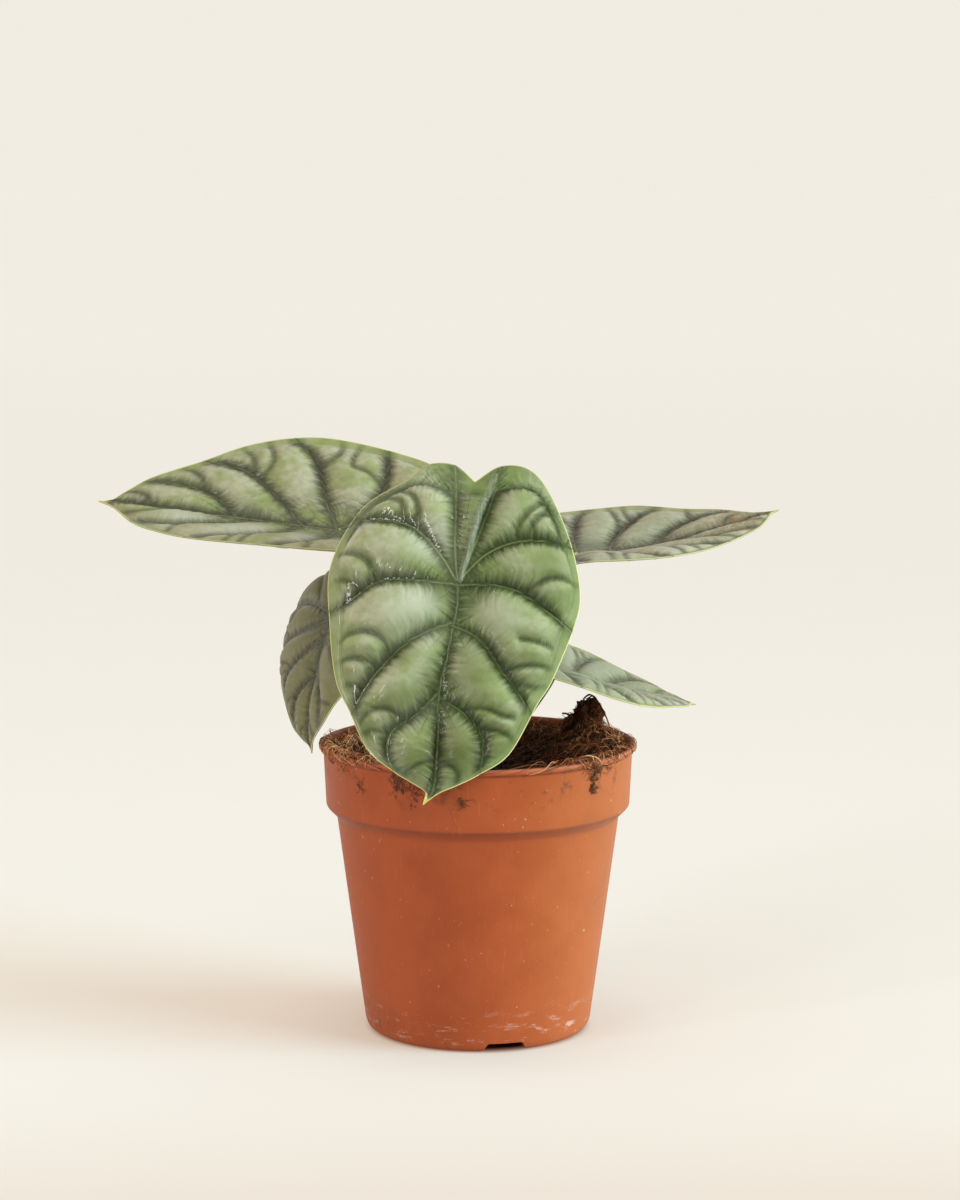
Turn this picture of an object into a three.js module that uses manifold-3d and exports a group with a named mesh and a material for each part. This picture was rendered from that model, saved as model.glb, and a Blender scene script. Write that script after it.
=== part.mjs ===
// A silver dragon alocasia in its plastic nursery pot, in millimetres, +Z up.
// The origin is on the pot's axis, on the surface that the pot stands on.
// +X is to the right and +Y away, for someone who looks at the front leaf.

import * as THREE from 'three';
import Module from 'manifold-3d';

const wasm = await Module();
wasm.setup();

// Clearance between touching pieces.
const GAP = 0.3;

// Pot: outer radii and heights from the foot up to the rim.
const RIM_R = 60;
const POT_H = 110;
const LIP_H = 2.3;
const BAND_TOP_R = 58.6;
const BAND_LOW_R = 57.6;
const BAND_LOW_Z = 86.5;
const SHOULDER = 4;
const BODY_TOP_R = 53.6;
const BODY_LOW_R = 43.2;
const CORNER_Z = 4.5;
const FOOT_R = 40.5;
const WALL = 1.4;
const POT_SIDES = 48;

// Underside: a flat middle and a standing ring, with a raised drain channel between them.
const MIDDLE_R = 28;
const CHANNEL_H = 3.6;
const RING_IN_R = 36;
const NOTCHES = 3;
const NOTCH_LOW_W = 16.5;
const NOTCH_TOP_W = 13.5;
const NOTCH_TURN = 14;
const DRAIN_HOLES = 6;
const DRAIN_R = 3.2;

// Soil: level in the middle, rise towards the wall, and two mounds: [x, y, height, spread].
const SOIL_Z = 98;
const SOIL_RISE = 6;
const SOIL_MOUNDS = [[40, 11, 8.5, 19], [-44, -8, 3, 16]];
const SOIL_WAVE = 0.8;
const SOIL_RIPPLE = 0.5;
const SOIL_RINGS = 9;
// The clump of peat and roots on the mound at the right, in three lumps.
const CLUMP = [
  { at: [42.5, 25, 113.5], r: [6, 5.5, 8.5] },
  { at: [37.5, 26, 109.5], r: [5.5, 5, 6.5] },
  { at: [45.5, 18.5, 108], r: [5.5, 5.5, 6] },
];
const LUMP_ROUGHNESS = 0.12;

// Stem base, the short stem that the leaf stalks grow from: [radius, height] from its foot up.
const STEM_AT = [-2, 5];
const STEM_PROFILE = [[5.5, 84], [7.5, 89], [7, 102.5], [5.5, 111], [3, 113]];
const STEM_SIDES = 16;

// Leaf patterns, drawn flat: the stalk meets the blade at (0, 0), and the tip is about 84 ahead of it.
// A rib runs from the midrib out to the margin: [start y, middle x, middle y, end x, end y, band].
// band is the width of the smooth strip along the margin. A vein is a curve through its points.
const FRONT_PATTERN = {
  tip: [-2, 83],
  left: [
    [0, 0.5, -21, 1, -42.5, 5],
    [0, -3, -22, -7.5, -49, 11],
    [0, -9, -23.5, -18, -48, 10],
    [0, -13, -21.5, -24.5, -40.5, 4],
    [0, -19, -18.5, -40.5, -28, 4],
    [0, -24, -8.5, -49.5, -4, 3],
    [0.5, -24, 2.5, -46, 20, 5.5],
    [8, -23, 17.5, -40.5, 40.5, 3.5],
    [17, -19.5, 29.5, -33, 52.5, 2.2],
    [30, -17.5, 43, -24.5, 65.5, 2],
    [43, -14.5, 55.5, -13.5, 72.5, 1.5],
    [57, -7, 66, -8, 75, 1],
    [71, -1.2, 75, -1.4, 78.4, 0.5],
  ],
  right: [
    [0, 0.5, -21, 1, -42.5, 5],
    [0, 4, -23, 9.5, -51, 12],
    [0, 10.5, -25, 20, -52, 10],
    [0, 13.5, -22.5, 29, -43.5, 4.5],
    [0, 18.5, -18, 40, -23.5, 4],
    [0, 22.5, -9.5, 46, -5, 3],
    [0.5, 22, -0.5, 45.5, 8.5, 4],
    [8, 20.5, 13.5, 39.5, 31, 2.6],
    [17, 17.5, 25, 35, 41, 3],
    [30, 16.5, 39.5, 27, 60.5, 2],
    [43, 14, 52, 17, 69.5, 1.5],
    [57, 8, 64.5, 9.5, 74.5, 1],
    [71, 1.8, 75, 3.4, 78, 0.5],
  ],
  veins: [
    [[0, 0], [1, 10], [-0.3, 30], [-1.3, 42], [0.6, 60], [1.2, 77], [-2, 83]],
    [[0, 0], [-2.8, -14], [-4.8, -32], [-7.5, -49]],
    [[0, 0], [-9.6, -12], [-20, -20.2], [-32, -22.5], [-43.5, -23]],
    [[0, 1], [-15, 1], [-29, 2.5], [-39.5, 11], [-47.5, 15]],
    [[0, 15.5], [-13, 23], [-25.5, 38], [-32.5, 53.5]],
    [[-1.2, 42], [-8.5, 50.5], [-16.5, 58], [-17, 66], [-14, 72.5]],
    [[0.5, 0], [5, -18], [8.4, -36], [9.5, -51]],
    [[0, 0], [9.7, -12.8], [23, -20.3], [40.8, -22.3]],
    [[0, 1], [17.4, -0.6], [29.7, 3.6], [45, 11.5]],
    [[0, 16.5], [10.8, 20.8], [22, 33], [34, 45.5]],
    [[-1, 43.5], [8, 47.7], [16, 55.5], [17.4, 68]],
  ],
};
const SIDE_PATTERN = {
  tip: [0, 85.5],
  left: [
    [0, 0, -21, 0, -43, 5],
    [0, -3.5, -24, -9, -48.5, 8],
    [0, -11.5, -23, -25, -45.5, 5],
    [0, -18, -17, -40, -29, 4],
    [0, -24, -10, -46, -12.5, 3.5],
    [0, -24, -1, -48.5, 10.5, 3.5],
    [0, -27, 12, -46, 26.5, 3.5],
    [6, -23.5, 21.5, -39, 42, 3.5],
    [12.5, -20, 30.5, -28.5, 55.5, 3],
    [24, -15.5, 41, -21.5, 65, 2.5],
    [34.5, -13, 50, -15.5, 72, 2],
    [52, -7, 65, -7, 78, 1.5],
    [68, -1.8, 75.5, -1.6, 81.4, 0.5],
  ],
  right: [
    [0, 0, -21, 0, -43, 5],
    [0, 3.5, -24, 9, -49, 8],
    [0, 11, -24, 24, -47, 5],
    [0, 17, -18, 37.5, -32, 4],
    [0, 24, -10, 44.5, -14, 3.5],
    [0, 24, -2.5, 44, 2, 3.5],
    [0, 22, 4.5, 43.5, 17.5, 3.5],
    [6, 20.5, 14.5, 41, 33, 3.5],
    [12.5, 19.5, 22.5, 36.5, 42.5, 3],
    [24, 14.5, 34, 27.5, 54.5, 2.5],
    [34.5, 12, 44.5, 18.5, 66.5, 2],
    [52, 6.5, 63, 6.5, 76.5, 1.5],
    [68, 2, 75, 2.9, 80.2, 0.5],
  ],
  veins: [
    [[0, 0], [0, 40], [0, 85.5]],
    [[0, 0], [-3, -20], [-8, -48]],
    [[0, 0], [-9, -6], [-27, -11], [-47, -8]],
    [[0, 0], [-16, 7.5], [-35.5, 15.5], [-46, 26.5]],
    [[0, 12], [-18, 28.5], [-26, 39], [-29, 53.5]],
    [[0, 35.5], [-11.5, 48], [-14.2, 60], [-14.2, 72]],
    [[0, 0], [3, -20], [9, -49]],
    [[0, 0], [9, -6], [27, -13], [43.5, -14]],
    [[0, 0], [17, 3], [35.5, 9.7], [43.5, 16.5]],
    [[0, 13], [14.5, 19.5], [27, 32], [35, 45.5]],
    [[0, 31], [10, 41], [15.5, 55], [15.5, 69]],
  ],
};
const VEIN_STEPS = 16;
const QUILT_W = 5.5;
const BAND_SLOPE = 4;
const BAND_ROWS = 2;
const HALF_T = 0.5;
const VEIN_RIDGE = 0.7;
const VEIN_RIDGE_W = 2.2;

// Each leaf: where its stalk meets it, its heading, how far the tip points down, how far the right side
// is rolled down, the bend of the midrib towards the tip and towards the lobes (per mm), and for the left
// and right half the fold up from the midrib and the curl back down (per mm). across and along scale it,
// quilt is the height of the quilting, and fine the columns for each rib and the rows of its mesh.
// The stalk is a list of points from the stem base to the blade.
const LEAVES = {
  front: {
    pattern: FRONT_PATTERN, at: [-7.4, -38, 175.6], yaw: -106, pitch: 62, roll: 14,
    bend: 0.0035, lobeBend: 0.006, fold: [4, 4], curl: [0.011, 0.011], twist: 0,
    across: 1, along: 1, quilt: 6.5, fine: [3, 8],
    stalk: [[-1, -1, 108], [0, -13, 135], [-3, -24, 158], [-7, -34.5, 172.5]],
  },
  upper_left: {
    pattern: SIDE_PATTERN, at: [-54.5, 32, 186.5], yaw: 168.1, pitch: -5.6, roll: 19.5,
    bend: 0, lobeBend: -0.0025, fold: [8.8, 3.3], curl: [-0.0069, -0.0111], twist: -0.0009,
    across: 1.023, along: 1.13, quilt: 5.5, fine: [2, 6],
    stalk: [[-5, 9, 108], [-14, 30, 138], [-34, 44, 166], [-50.5, 36, 181]],
  },
  upper_right: {
    pattern: SIDE_PATTERN, at: [38.3, 28, 177.4], yaw: 16.1, pitch: -0.9, roll: -5,
    bend: -0.004, lobeBend: 0.0121, fold: [4.6, 7.4], curl: [-0.004, -0.007], twist: 0.0009,
    across: 0.845, along: 0.986, quilt: 5, fine: [2, 6],
    stalk: [[-4, 3, 108], [-8, -3, 130], [-8, -4, 146], [4, 4, 161], [24, 19, 172]],
  },
  lower_left: {
    pattern: SIDE_PATTERN, at: [-54.6, 4, 156], yaw: 222, pitch: 62, roll: -10,
    bend: 0.0092, lobeBend: 0.022, fold: [4, 22], curl: [0.0103, 0.014], twist: 0.0015,
    across: 0.98, along: 0.605, quilt: 5, fine: [2, 6],
    stalk: [[-7, 5, 108], [-21, 8, 124], [-38, 9, 142], [-49.5, 6, 152.5]],
  },
  lower_right: {
    pattern: SIDE_PATTERN, at: [28.5, 22.1, 132.2], yaw: 26.6, pitch: 20.6, roll: -9.4,
    bend: -0.0032, lobeBend: 0.0053, fold: [12.4, 10.7], curl: [0.0053, -0.0027], twist: 0.0002,
    across: 0.785, along: 0.773, quilt: 4.5, fine: [2, 6],
    stalk: [[3, 5, 107], [14, 8, 114], [22, 16, 122.5], [27.5, 21.5, 129.5]],
  },
};

// Stalks: radius at the stem base and under the blade.
const STALK_FOOT_R = 2.6;
const STALK_TOP_R = 1.5;
const STALK_SIDES = 8;
const STALK_STEPS = 12;

const finish = (color, roughness) => new THREE.MeshStandardMaterial({ color, roughness, metalness: 0 });
const PLASTIC = finish(0xb0603c, 0.6);
const PEAT = finish(0x33210f, 1);
const STEM = finish(0x7c7a3c, 0.6);
const FRONT_LEAF = finish(0x8f9f78, 0.45);
const SIDE_LEAF = finish(0x807f63, 0.5);

const radians = (degrees) => THREE.MathUtils.degToRad(degrees);
const lerp = THREE.MathUtils.lerp;

// A closed geometry from points and faces. Points in one place are merged, and flat faces dropped.
function closedGeometry(points, faces) {
  const seen = new Map();
  const kept = [];
  const number = points.map((p) => {
    const key = p.map((v) => Math.round(v * 1e4)).join();
    if (!seen.has(key)) {
      seen.set(key, kept.length);
      kept.push(p);
    }
    return seen.get(key);
  });
  const index = faces
    .map((face) => face.map((corner) => number[corner]))
    .filter(([a, b, c]) => a !== b && b !== c && c !== a);
  const geometry = new THREE.BufferGeometry();
  geometry.setAttribute('position', new THREE.BufferAttribute(new Float32Array(kept.flat()), 3));
  geometry.setIndex(index.flat());
  return geometry;
}

function corners(geometry) {
  const position = geometry.attributes.position;
  const corner = (_, i) => new THREE.Vector3().fromBufferAttribute(position, i).toArray();
  return Array.from({ length: position.count }, corner);
}

function triples(geometry) {
  const flat = geometry.index ? Array.from(geometry.index.array) : corners(geometry).map((_, i) => i);
  return Array.from({ length: flat.length / 3 }, (_, i) => flat.slice(3 * i, 3 * i + 3));
}

// The same geometry with its shared corners merged, as a solid for cutting and joining.
function toSolid(geometry) {
  const merged = closedGeometry(corners(geometry), triples(geometry));
  const vertProperties = merged.attributes.position.array;
  const triVerts = new Uint32Array(merged.index.array);
  return new wasm.Manifold(new wasm.Mesh({ numProp: 3, vertProperties, triVerts }));
}

function toGeometry(solid) {
  const mesh = solid.getMesh();
  const geometry = new THREE.BufferGeometry();
  geometry.setAttribute('position', new THREE.BufferAttribute(new Float32Array(mesh.vertProperties), 3));
  geometry.setIndex(new THREE.BufferAttribute(new Uint32Array(mesh.triVerts), 1));
  return geometry;
}

// Turned about the pot's axis: a profile of [radius, height] from the axis round to the axis.
function turned(profile, sides) {
  const lathe = new THREE.LatheGeometry(profile.map(([r, z]) => new THREE.Vector2(r, z)), sides);
  return lathe.rotateX(Math.PI / 2);
}

const bodyRadius = (z) => lerp(BODY_LOW_R, BODY_TOP_R, (z - CORNER_Z) / (BAND_LOW_Z - SHOULDER - CORNER_Z));

function potProfile() {
  const floor = CHANNEL_H + WALL;
  const shoulderZ = BAND_LOW_Z - SHOULDER;
  return [
    [0, 0],
    [MIDDLE_R, 0],
    [MIDDLE_R + 1, CHANNEL_H],
    [RING_IN_R - 1, CHANNEL_H],
    [RING_IN_R, 0],
    [FOOT_R, 0],
    [FOOT_R + 1.8, CORNER_Z / 3],
    [BODY_LOW_R, CORNER_Z],
    [BODY_TOP_R, shoulderZ],
    [BAND_LOW_R, BAND_LOW_Z],
    [BAND_TOP_R, POT_H - LIP_H],
    [RIM_R, POT_H - LIP_H + 0.4],
    [RIM_R, POT_H - 0.6],
    [RIM_R - 0.6, POT_H],
    [RIM_R - 2, POT_H],
    [BAND_TOP_R - WALL, POT_H - LIP_H],
    [BAND_LOW_R - WALL, BAND_LOW_Z + 0.6],
    [BODY_TOP_R - WALL, shoulderZ + 0.6],
    [bodyRadius(floor + 2) - WALL, floor + 2],
    [bodyRadius(floor) - WALL - 2, floor],
    [0, floor],
  ];
}

// A notch through the standing ring, where water leaves the channel.
function notchCutter(turn) {
  const low = NOTCH_LOW_W / 2;
  const top = NOTCH_TOP_W / 2;
  const outline = [[-low, -1], [low, -1], [low, 0.5], [top, CHANNEL_H], [-top, CHANNEL_H], [-low, 0.5]];
  const shape = new THREE.Shape(outline.map(([x, z]) => new THREE.Vector2(x, z)));
  const cutter = new THREE.ExtrudeGeometry(shape, { depth: RIM_R - RING_IN_R, bevelEnabled: false });
  cutter.translate(0, 0, RING_IN_R - 2);
  cutter.rotateX(Math.PI / 2);
  return cutter.rotateZ(turn);
}

function drainCutter(turn) {
  const cutter = new THREE.CylinderGeometry(DRAIN_R, DRAIN_R, 3 * CHANNEL_H, 12);
  cutter.rotateX(Math.PI / 2);
  cutter.translate(0, -(MIDDLE_R + RING_IN_R) / 2, 2 * CHANNEL_H);
  return cutter.rotateZ(turn);
}

function potGeometry() {
  let pot = toSolid(turned(potProfile(), POT_SIDES));
  for (let i = 0; i < NOTCHES; i += 1) {
    pot = pot.subtract(toSolid(notchCutter(radians(NOTCH_TURN) + (i * 2 * Math.PI) / NOTCHES)));
  }
  for (let i = 0; i < DRAIN_HOLES; i += 1) {
    pot = pot.subtract(toSolid(drainCutter(((i + 0.5) * 2 * Math.PI) / DRAIN_HOLES)));
  }
  return toGeometry(pot);
}

// The stem base, grown by a clearance so that it can also cut its hole and the feet of the stalks.
function stemGeometry(clearance) {
  const side = STEM_PROFILE.map(([r, z]) => [r + clearance, z > SOIL_Z ? z + clearance : z - clearance]);
  const [low, high] = [side[0][1], side[side.length - 1][1]];
  const stem = turned([[0, low], ...side, [0, high]], STEM_SIDES);
  return stem.translate(STEM_AT[0], STEM_AT[1], 0);
}

// Height of the soil: low in the middle, up towards the wall and on the mounds, and uneven.
function soilHeight(x, y) {
  const rise = SOIL_RISE * (Math.hypot(x, y) / BAND_LOW_R) ** 3;
  const mounds = SOIL_MOUNDS.map(([mx, my, height, spread]) => {
    return height * Math.exp(-((x - mx) ** 2 + (y - my) ** 2) / spread ** 2);
  });
  const wave = SOIL_WAVE * Math.sin(x * 0.23 + 1) * Math.cos(y * 0.19);
  const ripple = SOIL_RIPPLE * Math.sin(x * 0.51 - y * 0.43);
  return SOIL_Z + rise + mounds[0] + mounds[1] + wave + ripple;
}

// The soil fills the pot: its side follows the wall, and its top is a relief.
function soilGeometry(stemHole) {
  const floor = CHANNEL_H + WALL + GAP;
  const wall = WALL + GAP;
  const side = [
    [0, floor],
    [bodyRadius(floor) - wall - 2, floor],
    [bodyRadius(floor + 2) - wall, floor + 2],
    [BODY_TOP_R - wall, BAND_LOW_Z - SHOULDER + 0.7],
    [BAND_LOW_R - wall, BAND_LOW_Z + 0.7],
  ];
  const edge = BAND_TOP_R - wall - 0.4;
  for (let ring = SOIL_RINGS; ring >= 0; ring -= 1) {
    side.push([(edge * ring) / SOIL_RINGS, POT_H]);
  }
  const body = turned(side, POT_SIDES);
  const points = corners(body).map(([x, y, z]) => [x, y, z > POT_H - 1 ? soilHeight(x, y) : z]);
  let soil = toSolid(closedGeometry(points, triples(body)));
  for (const { at, r } of CLUMP) {
    const lump = new THREE.IcosahedronGeometry(1, 2).scale(...r);
    const rough = corners(lump).map(([x, y, z]) => {
      const swell = 1 + LUMP_ROUGHNESS * Math.sin(x * 1.1 + z * 0.9) * Math.cos(y * 1.3 - z * 0.7);
      return [at[0] + x * swell, at[1] + y * swell, at[2] + z * swell];
    });
    soil = soil.add(toSolid(closedGeometry(rough, triples(lump))));
  }
  return toGeometry(soil.subtract(stemHole));
}

// A value list read between its entries: straight between two, or smooth through all.
function straight(rows, column, t) {
  const i = Math.min(Math.floor(t), rows.length - 2);
  return lerp(rows[i][column], rows[i + 1][column], t - i);
}

function smooth(rows, column, t) {
  const last = rows.length - 1;
  const i = Math.min(Math.floor(t), last - 1);
  const b = rows[i][column];
  const c = rows[i + 1][column];
  const a = i > 0 ? rows[i - 1][column] : 2 * b - c;
  const d = i + 2 <= last ? rows[i + 2][column] : 2 * c - b;
  const f = t - i;
  const square = 2 * a - 5 * b + 4 * c - d;
  const cube = 3 * b - a - 3 * c + d;
  return 0.5 * (2 * b + (c - a) * f + square * f ** 2 + cube * f ** 3);
}

// One half of a pattern as rows: start x and y, middle x and y, end x and y, band. The tip is the last.
function patternRows(pattern, half) {
  return [...pattern[half].map((rib) => [0, ...rib]), [...pattern.tip, ...pattern.tip, ...pattern.tip, 0]];
}

// A flat point of the leaf, by rib number t and share s of the way from the midrib to the margin.
function flatPoint(rows, t, s) {
  return [0, 1].map((axis) => {
    const start = straight(rows, axis, t);
    const end = smooth(rows, 4 + axis, t);
    const pull = 2 * straight(rows, 2 + axis, t) - (start + end) / 2;
    return (1 - s) ** 2 * start + 2 * s * (1 - s) * pull + s * s * end;
  });
}

// The length of rib t.
function ribLength(rows, t) {
  const [startX, startY] = flatPoint(rows, t, 0);
  const [endX, endY] = flatPoint(rows, t, 1);
  return Math.hypot(endX - startX, endY - startY);
}

// Every main vein as a row of flat points.
function veinLines(pattern) {
  return pattern.veins.map((points) => Array.from({ length: VEIN_STEPS + 1 }, (_, i) => {
    const t = (i / VEIN_STEPS) * (points.length - 1);
    return [smooth(points, 0, t), smooth(points, 1, t)];
  }));
}

function distanceToLine([x, y], line) {
  let nearest = Infinity;
  for (let i = 0; i + 1 < line.length; i += 1) {
    const [ax, ay] = line[i];
    const dx = line[i + 1][0] - ax;
    const dy = line[i + 1][1] - ay;
    const f = THREE.MathUtils.clamp(((x - ax) * dx + (y - ay) * dy) / (dx * dx + dy * dy), 0, 1);
    nearest = Math.min(nearest, Math.hypot(x - ax - f * dx, y - ay - f * dy));
  }
  return nearest;
}

// Height of the quilting at a flat point, and how far the vein ridges stand out below it.
// inside is the distance in from the smooth band along the margin.
function quilting(leaf, veins, flat, inside) {
  const distances = veins.map((line) => distanceToLine(flat, line));
  const pillow = distances.reduce((product, d) => product * (1 - Math.exp(-d / QUILT_W)), 1);
  const fade = inside > 0 ? 1 - Math.exp(-inside / BAND_SLOPE) : 0;
  const ridge = VEIN_RIDGE * Math.exp(-((Math.min(...distances) / VEIN_RIDGE_W) ** 2));
  return { height: leaf.quilt * pillow * fade, ridge: ridge * fade };
}

// How far an arc runs forward and drops in a length, and its turn.
function arc(length, bend) {
  if (Math.abs(bend) < 1e-6) return [length, 0, 0];
  return [Math.sin(bend * length) / bend, (1 - Math.cos(bend * length)) / bend, bend * length];
}

// The leaf's own directions where the stalk meets it: towards the tip, up from the face, and to the right.
function leafAxes({ yaw, pitch, roll }) {
  const [cy, sy] = [Math.cos(radians(yaw)), Math.sin(radians(yaw))];
  const [cp, sp] = [Math.cos(radians(pitch)), Math.sin(radians(pitch))];
  const [cr, sr] = [Math.cos(radians(roll)), Math.sin(radians(roll))];
  const forward = new THREE.Vector3(cy * cp, sy * cp, -sp);
  const level = new THREE.Vector3(cy * sp, sy * sp, cp);
  const across = new THREE.Vector3().crossVectors(level, forward);
  const up = level.clone().multiplyScalar(cr).addScaledVector(across, sr);
  const right = across.clone().multiplyScalar(cr).addScaledVector(level, -sr);
  return { forward, up, right };
}

// A flat point at a height off the face, folded, curled and bent into place.
function lay(leaf, axes, [flatX, flatY], height) {
  const x = flatX * leaf.across;
  const y = flatY * leaf.along;
  const half = x > 0 ? 1 : 0;
  const fold = radians(leaf.fold[half]);
  const curl = leaf.curl[half] || 1e-9;
  const lean = fold - curl * Math.abs(x);
  const out = (Math.sin(fold) - Math.sin(lean)) / curl - Math.sin(lean) * height;
  const rise = (Math.cos(lean) - Math.cos(fold)) / curl + Math.cos(lean) * height;
  const twist = leaf.twist * y;
  const across = Math.sign(x) * out * Math.cos(twist) - rise * Math.sin(twist);
  const above = Math.sign(x) * out * Math.sin(twist) + rise * Math.cos(twist);
  const [ahead, drop, turn] = arc(y, y > 0 ? leaf.bend : leaf.lobeBend);
  return new THREE.Vector3(...leaf.at)
    .addScaledVector(axes.forward, ahead + above * Math.sin(turn))
    .addScaledVector(axes.up, above * Math.cos(turn) - drop)
    .addScaledVector(axes.right, across)
    .toArray();
}

// The shares along a rib where the mesh has its rows: even up to the band, then BAND_ROWS across the band.
function rowShares(count, bandShare) {
  const inner = 1 - bandShare;
  const quilted = Array.from({ length: count + 1 }, (_, i) => (inner * i) / count);
  const band = Array.from({ length: BAND_ROWS }, (_, i) => inner + (bandShare * (i + 1)) / BAND_ROWS);
  return [...quilted, ...band];
}

// The upper and lower points of one column of a blade's mesh, from the midrib to the margin.
function bladeColumn(leaf, veins, rows, t, above, below) {
  const axes = leafAxes(leaf);
  const length = ribLength(rows, t);
  const bandShare = length > 0.01 ? straight(rows, 6, t) / length : 0;
  return rowShares(leaf.fine[1], bandShare).flatMap((s) => {
    const flat = flatPoint(rows, t, s);
    const inside = s > 0 ? (1 - bandShare - s) * length : (leaf.pattern.tip[1] - flat[1]) / 2;
    const { height, ridge } = quilting(leaf, veins, flat, inside);
    return [lay(leaf, axes, flat, height + above), lay(leaf, axes, flat, height - ridge - below)];
  });
}

// A blade with both faces split alike. above and below are the distances from the middle of its thickness.
function bladeGeometry(leaf, above, below) {
  const [perRib, quiltRows] = leaf.fine;
  const rowCount = quiltRows + BAND_ROWS;
  const columns = leaf.pattern.left.length * perRib;
  const veins = veinLines(leaf.pattern);
  const points = [];
  const faces = [];
  const quad = (a, b, c, d, flip) => {
    faces.push(...(flip ? [[a, c, b], [a, d, c]] : [[a, b, c], [a, c, d]]));
  };
  ['left', 'right'].forEach((half, right) => {
    const rows = patternRows(leaf.pattern, half);
    const first = points.length;
    const at = (column, row, under) => first + 2 * (column * (rowCount + 1) + row) + under;
    for (let column = 0; column <= columns; column += 1) {
      points.push(...bladeColumn(leaf, veins, rows, column / perRib, above, below));
    }
    for (let column = 0; column < columns; column += 1) {
      const next = column + 1;
      for (let row = 0; row < rowCount; row += 1) {
        for (const under of [0, 1]) {
          const near = [at(column, row, under), at(column, row + 1, under)];
          quad(...near, at(next, row + 1, under), at(next, row, under), right + under === 1);
        }
      }
      const edge = [at(column, rowCount, 0), at(column, rowCount, 1)];
      quad(...edge, at(next, rowCount, 1), at(next, rowCount, 0), right === 1);
    }
  });
  return closedGeometry(points, faces);
}

// A tapered round stalk along a smooth curve, from the stem base into the blade.
function stalkGeometry(leaf) {
  const path = [...leaf.stalk, leaf.at].map((p) => new THREE.Vector3(...p));
  const foot = new THREE.Vector3(STEM_AT[0], STEM_AT[1], leaf.stalk[0][2] - 6);
  const curve = new THREE.CatmullRomCurve3([foot, ...path], false, 'centripetal');
  const frames = curve.computeFrenetFrames(STALK_STEPS, false);
  const points = [];
  const faces = [];
  for (let step = 0; step <= STALK_STEPS; step += 1) {
    const centre = curve.getPointAt(step / STALK_STEPS);
    const r = lerp(STALK_FOOT_R, STALK_TOP_R, step / STALK_STEPS);
    for (let side = 0; side < STALK_SIDES; side += 1) {
      const turn = (side * 2 * Math.PI) / STALK_SIDES;
      const point = centre.clone()
        .addScaledVector(frames.normals[step], r * Math.cos(turn))
        .addScaledVector(frames.binormals[step], r * Math.sin(turn));
      points.push(point.toArray());
      if (step < STALK_STEPS) {
        const next = (side + 1) % STALK_SIDES;
        const low = step * STALK_SIDES;
        const high = low + STALK_SIDES;
        faces.push([low + side, low + next, high + next], [low + side, high + next, high + side]);
      }
    }
  }
  const last = STALK_STEPS * STALK_SIDES;
  for (let side = 1; side + 1 < STALK_SIDES; side += 1) {
    faces.push([0, side + 1, side], [last, last + side, last + side + 1]);
  }
  return closedGeometry(points, faces);
}

// A stalk ends just short of its blade and of the stem base.
function petioleGeometry(leaf, stemCutter) {
  const bladeCutter = toSolid(bladeGeometry(leaf, 6, HALF_T + GAP));
  return toGeometry(toSolid(stalkGeometry(leaf)).subtract(bladeCutter).subtract(stemCutter));
}

const plant = new THREE.Group();

function place(name, geometry, material) {
  const mesh = new THREE.Mesh(geometry, material);
  mesh.name = name;
  plant.add(mesh);
}

const stemCutter = toSolid(stemGeometry(GAP));
place('pot', potGeometry(), PLASTIC);
place('soil', soilGeometry(stemCutter), PEAT);
place('stem_base', toGeometry(toSolid(stemGeometry(0))), STEM);
for (const [name, leaf] of Object.entries(LEAVES)) {
  place(`petiole_${name}`, petioleGeometry(leaf, stemCutter), STEM);
  place(`blade_${name}`, bladeGeometry(leaf, HALF_T, HALF_T), name === 'front' ? FRONT_LEAF : SIDE_LEAF);
}

export default plant;
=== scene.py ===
"""A silver dragon alocasia in its plastic nursery pot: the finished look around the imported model.

The leaf pattern and the sizes of the pot are in millimetres, as on the solids that they stand for, and
every mesh is scaled to metres as it is made. The front leaf faces -Y, where the camera is.
"""

import math

import bpy
import numpy as np
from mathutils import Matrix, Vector, noise


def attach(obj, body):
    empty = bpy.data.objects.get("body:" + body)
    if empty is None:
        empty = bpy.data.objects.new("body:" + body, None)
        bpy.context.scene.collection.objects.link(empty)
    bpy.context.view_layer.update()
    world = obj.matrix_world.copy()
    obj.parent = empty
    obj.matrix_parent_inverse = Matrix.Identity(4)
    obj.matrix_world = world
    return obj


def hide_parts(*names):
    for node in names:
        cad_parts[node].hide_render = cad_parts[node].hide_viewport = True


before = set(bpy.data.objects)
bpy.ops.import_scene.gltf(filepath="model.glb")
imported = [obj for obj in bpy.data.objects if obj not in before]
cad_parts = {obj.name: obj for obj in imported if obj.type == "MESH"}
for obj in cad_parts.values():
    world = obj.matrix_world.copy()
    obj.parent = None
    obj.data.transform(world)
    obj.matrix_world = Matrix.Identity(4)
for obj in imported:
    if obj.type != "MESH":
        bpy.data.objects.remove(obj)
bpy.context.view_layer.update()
MM = 0.001
# A direction that no stalk, root or fibre runs along, for turning the rings of a tube.
ASIDE = (0.31, 0.17, 0.93)

# Camera, fitted to the ellipses of the pot's rim and foot.
CAMERA_AT = (0.0008, -1.2, 0.3295)
CAMERA_PITCH = 7.85
CAMERA_LENS = 96.3

# Studio: the pale floor, whose glow is painted light, the backdrop, the darker room in front, and the soft
# key light from the right.
FLOOR_REACH = 30000
FLOOR_COLOUR = (0.455, 0.565, 0.59)
FLOOR_GLOW = (0.42, 0.27, 0.18)
FAR_GLOW = (0.45, 0.3, 0.217)
HORIZON_COLOUR = (0.88, 0.842, 0.765)
CEILING_COLOUR = (0.85, 0.76, 0.67)
ROOM_COLOUR = (0.1, 0.095, 0.09)
KEY_STRENGTH = 1.4
KEY_TURNS = (-30, -17, -4)
KEY_RISE = 14
KEY_ANGLE = math.radians(15)
KEY_COLOUR = (0.58, 0.86, 1.0)
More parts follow.
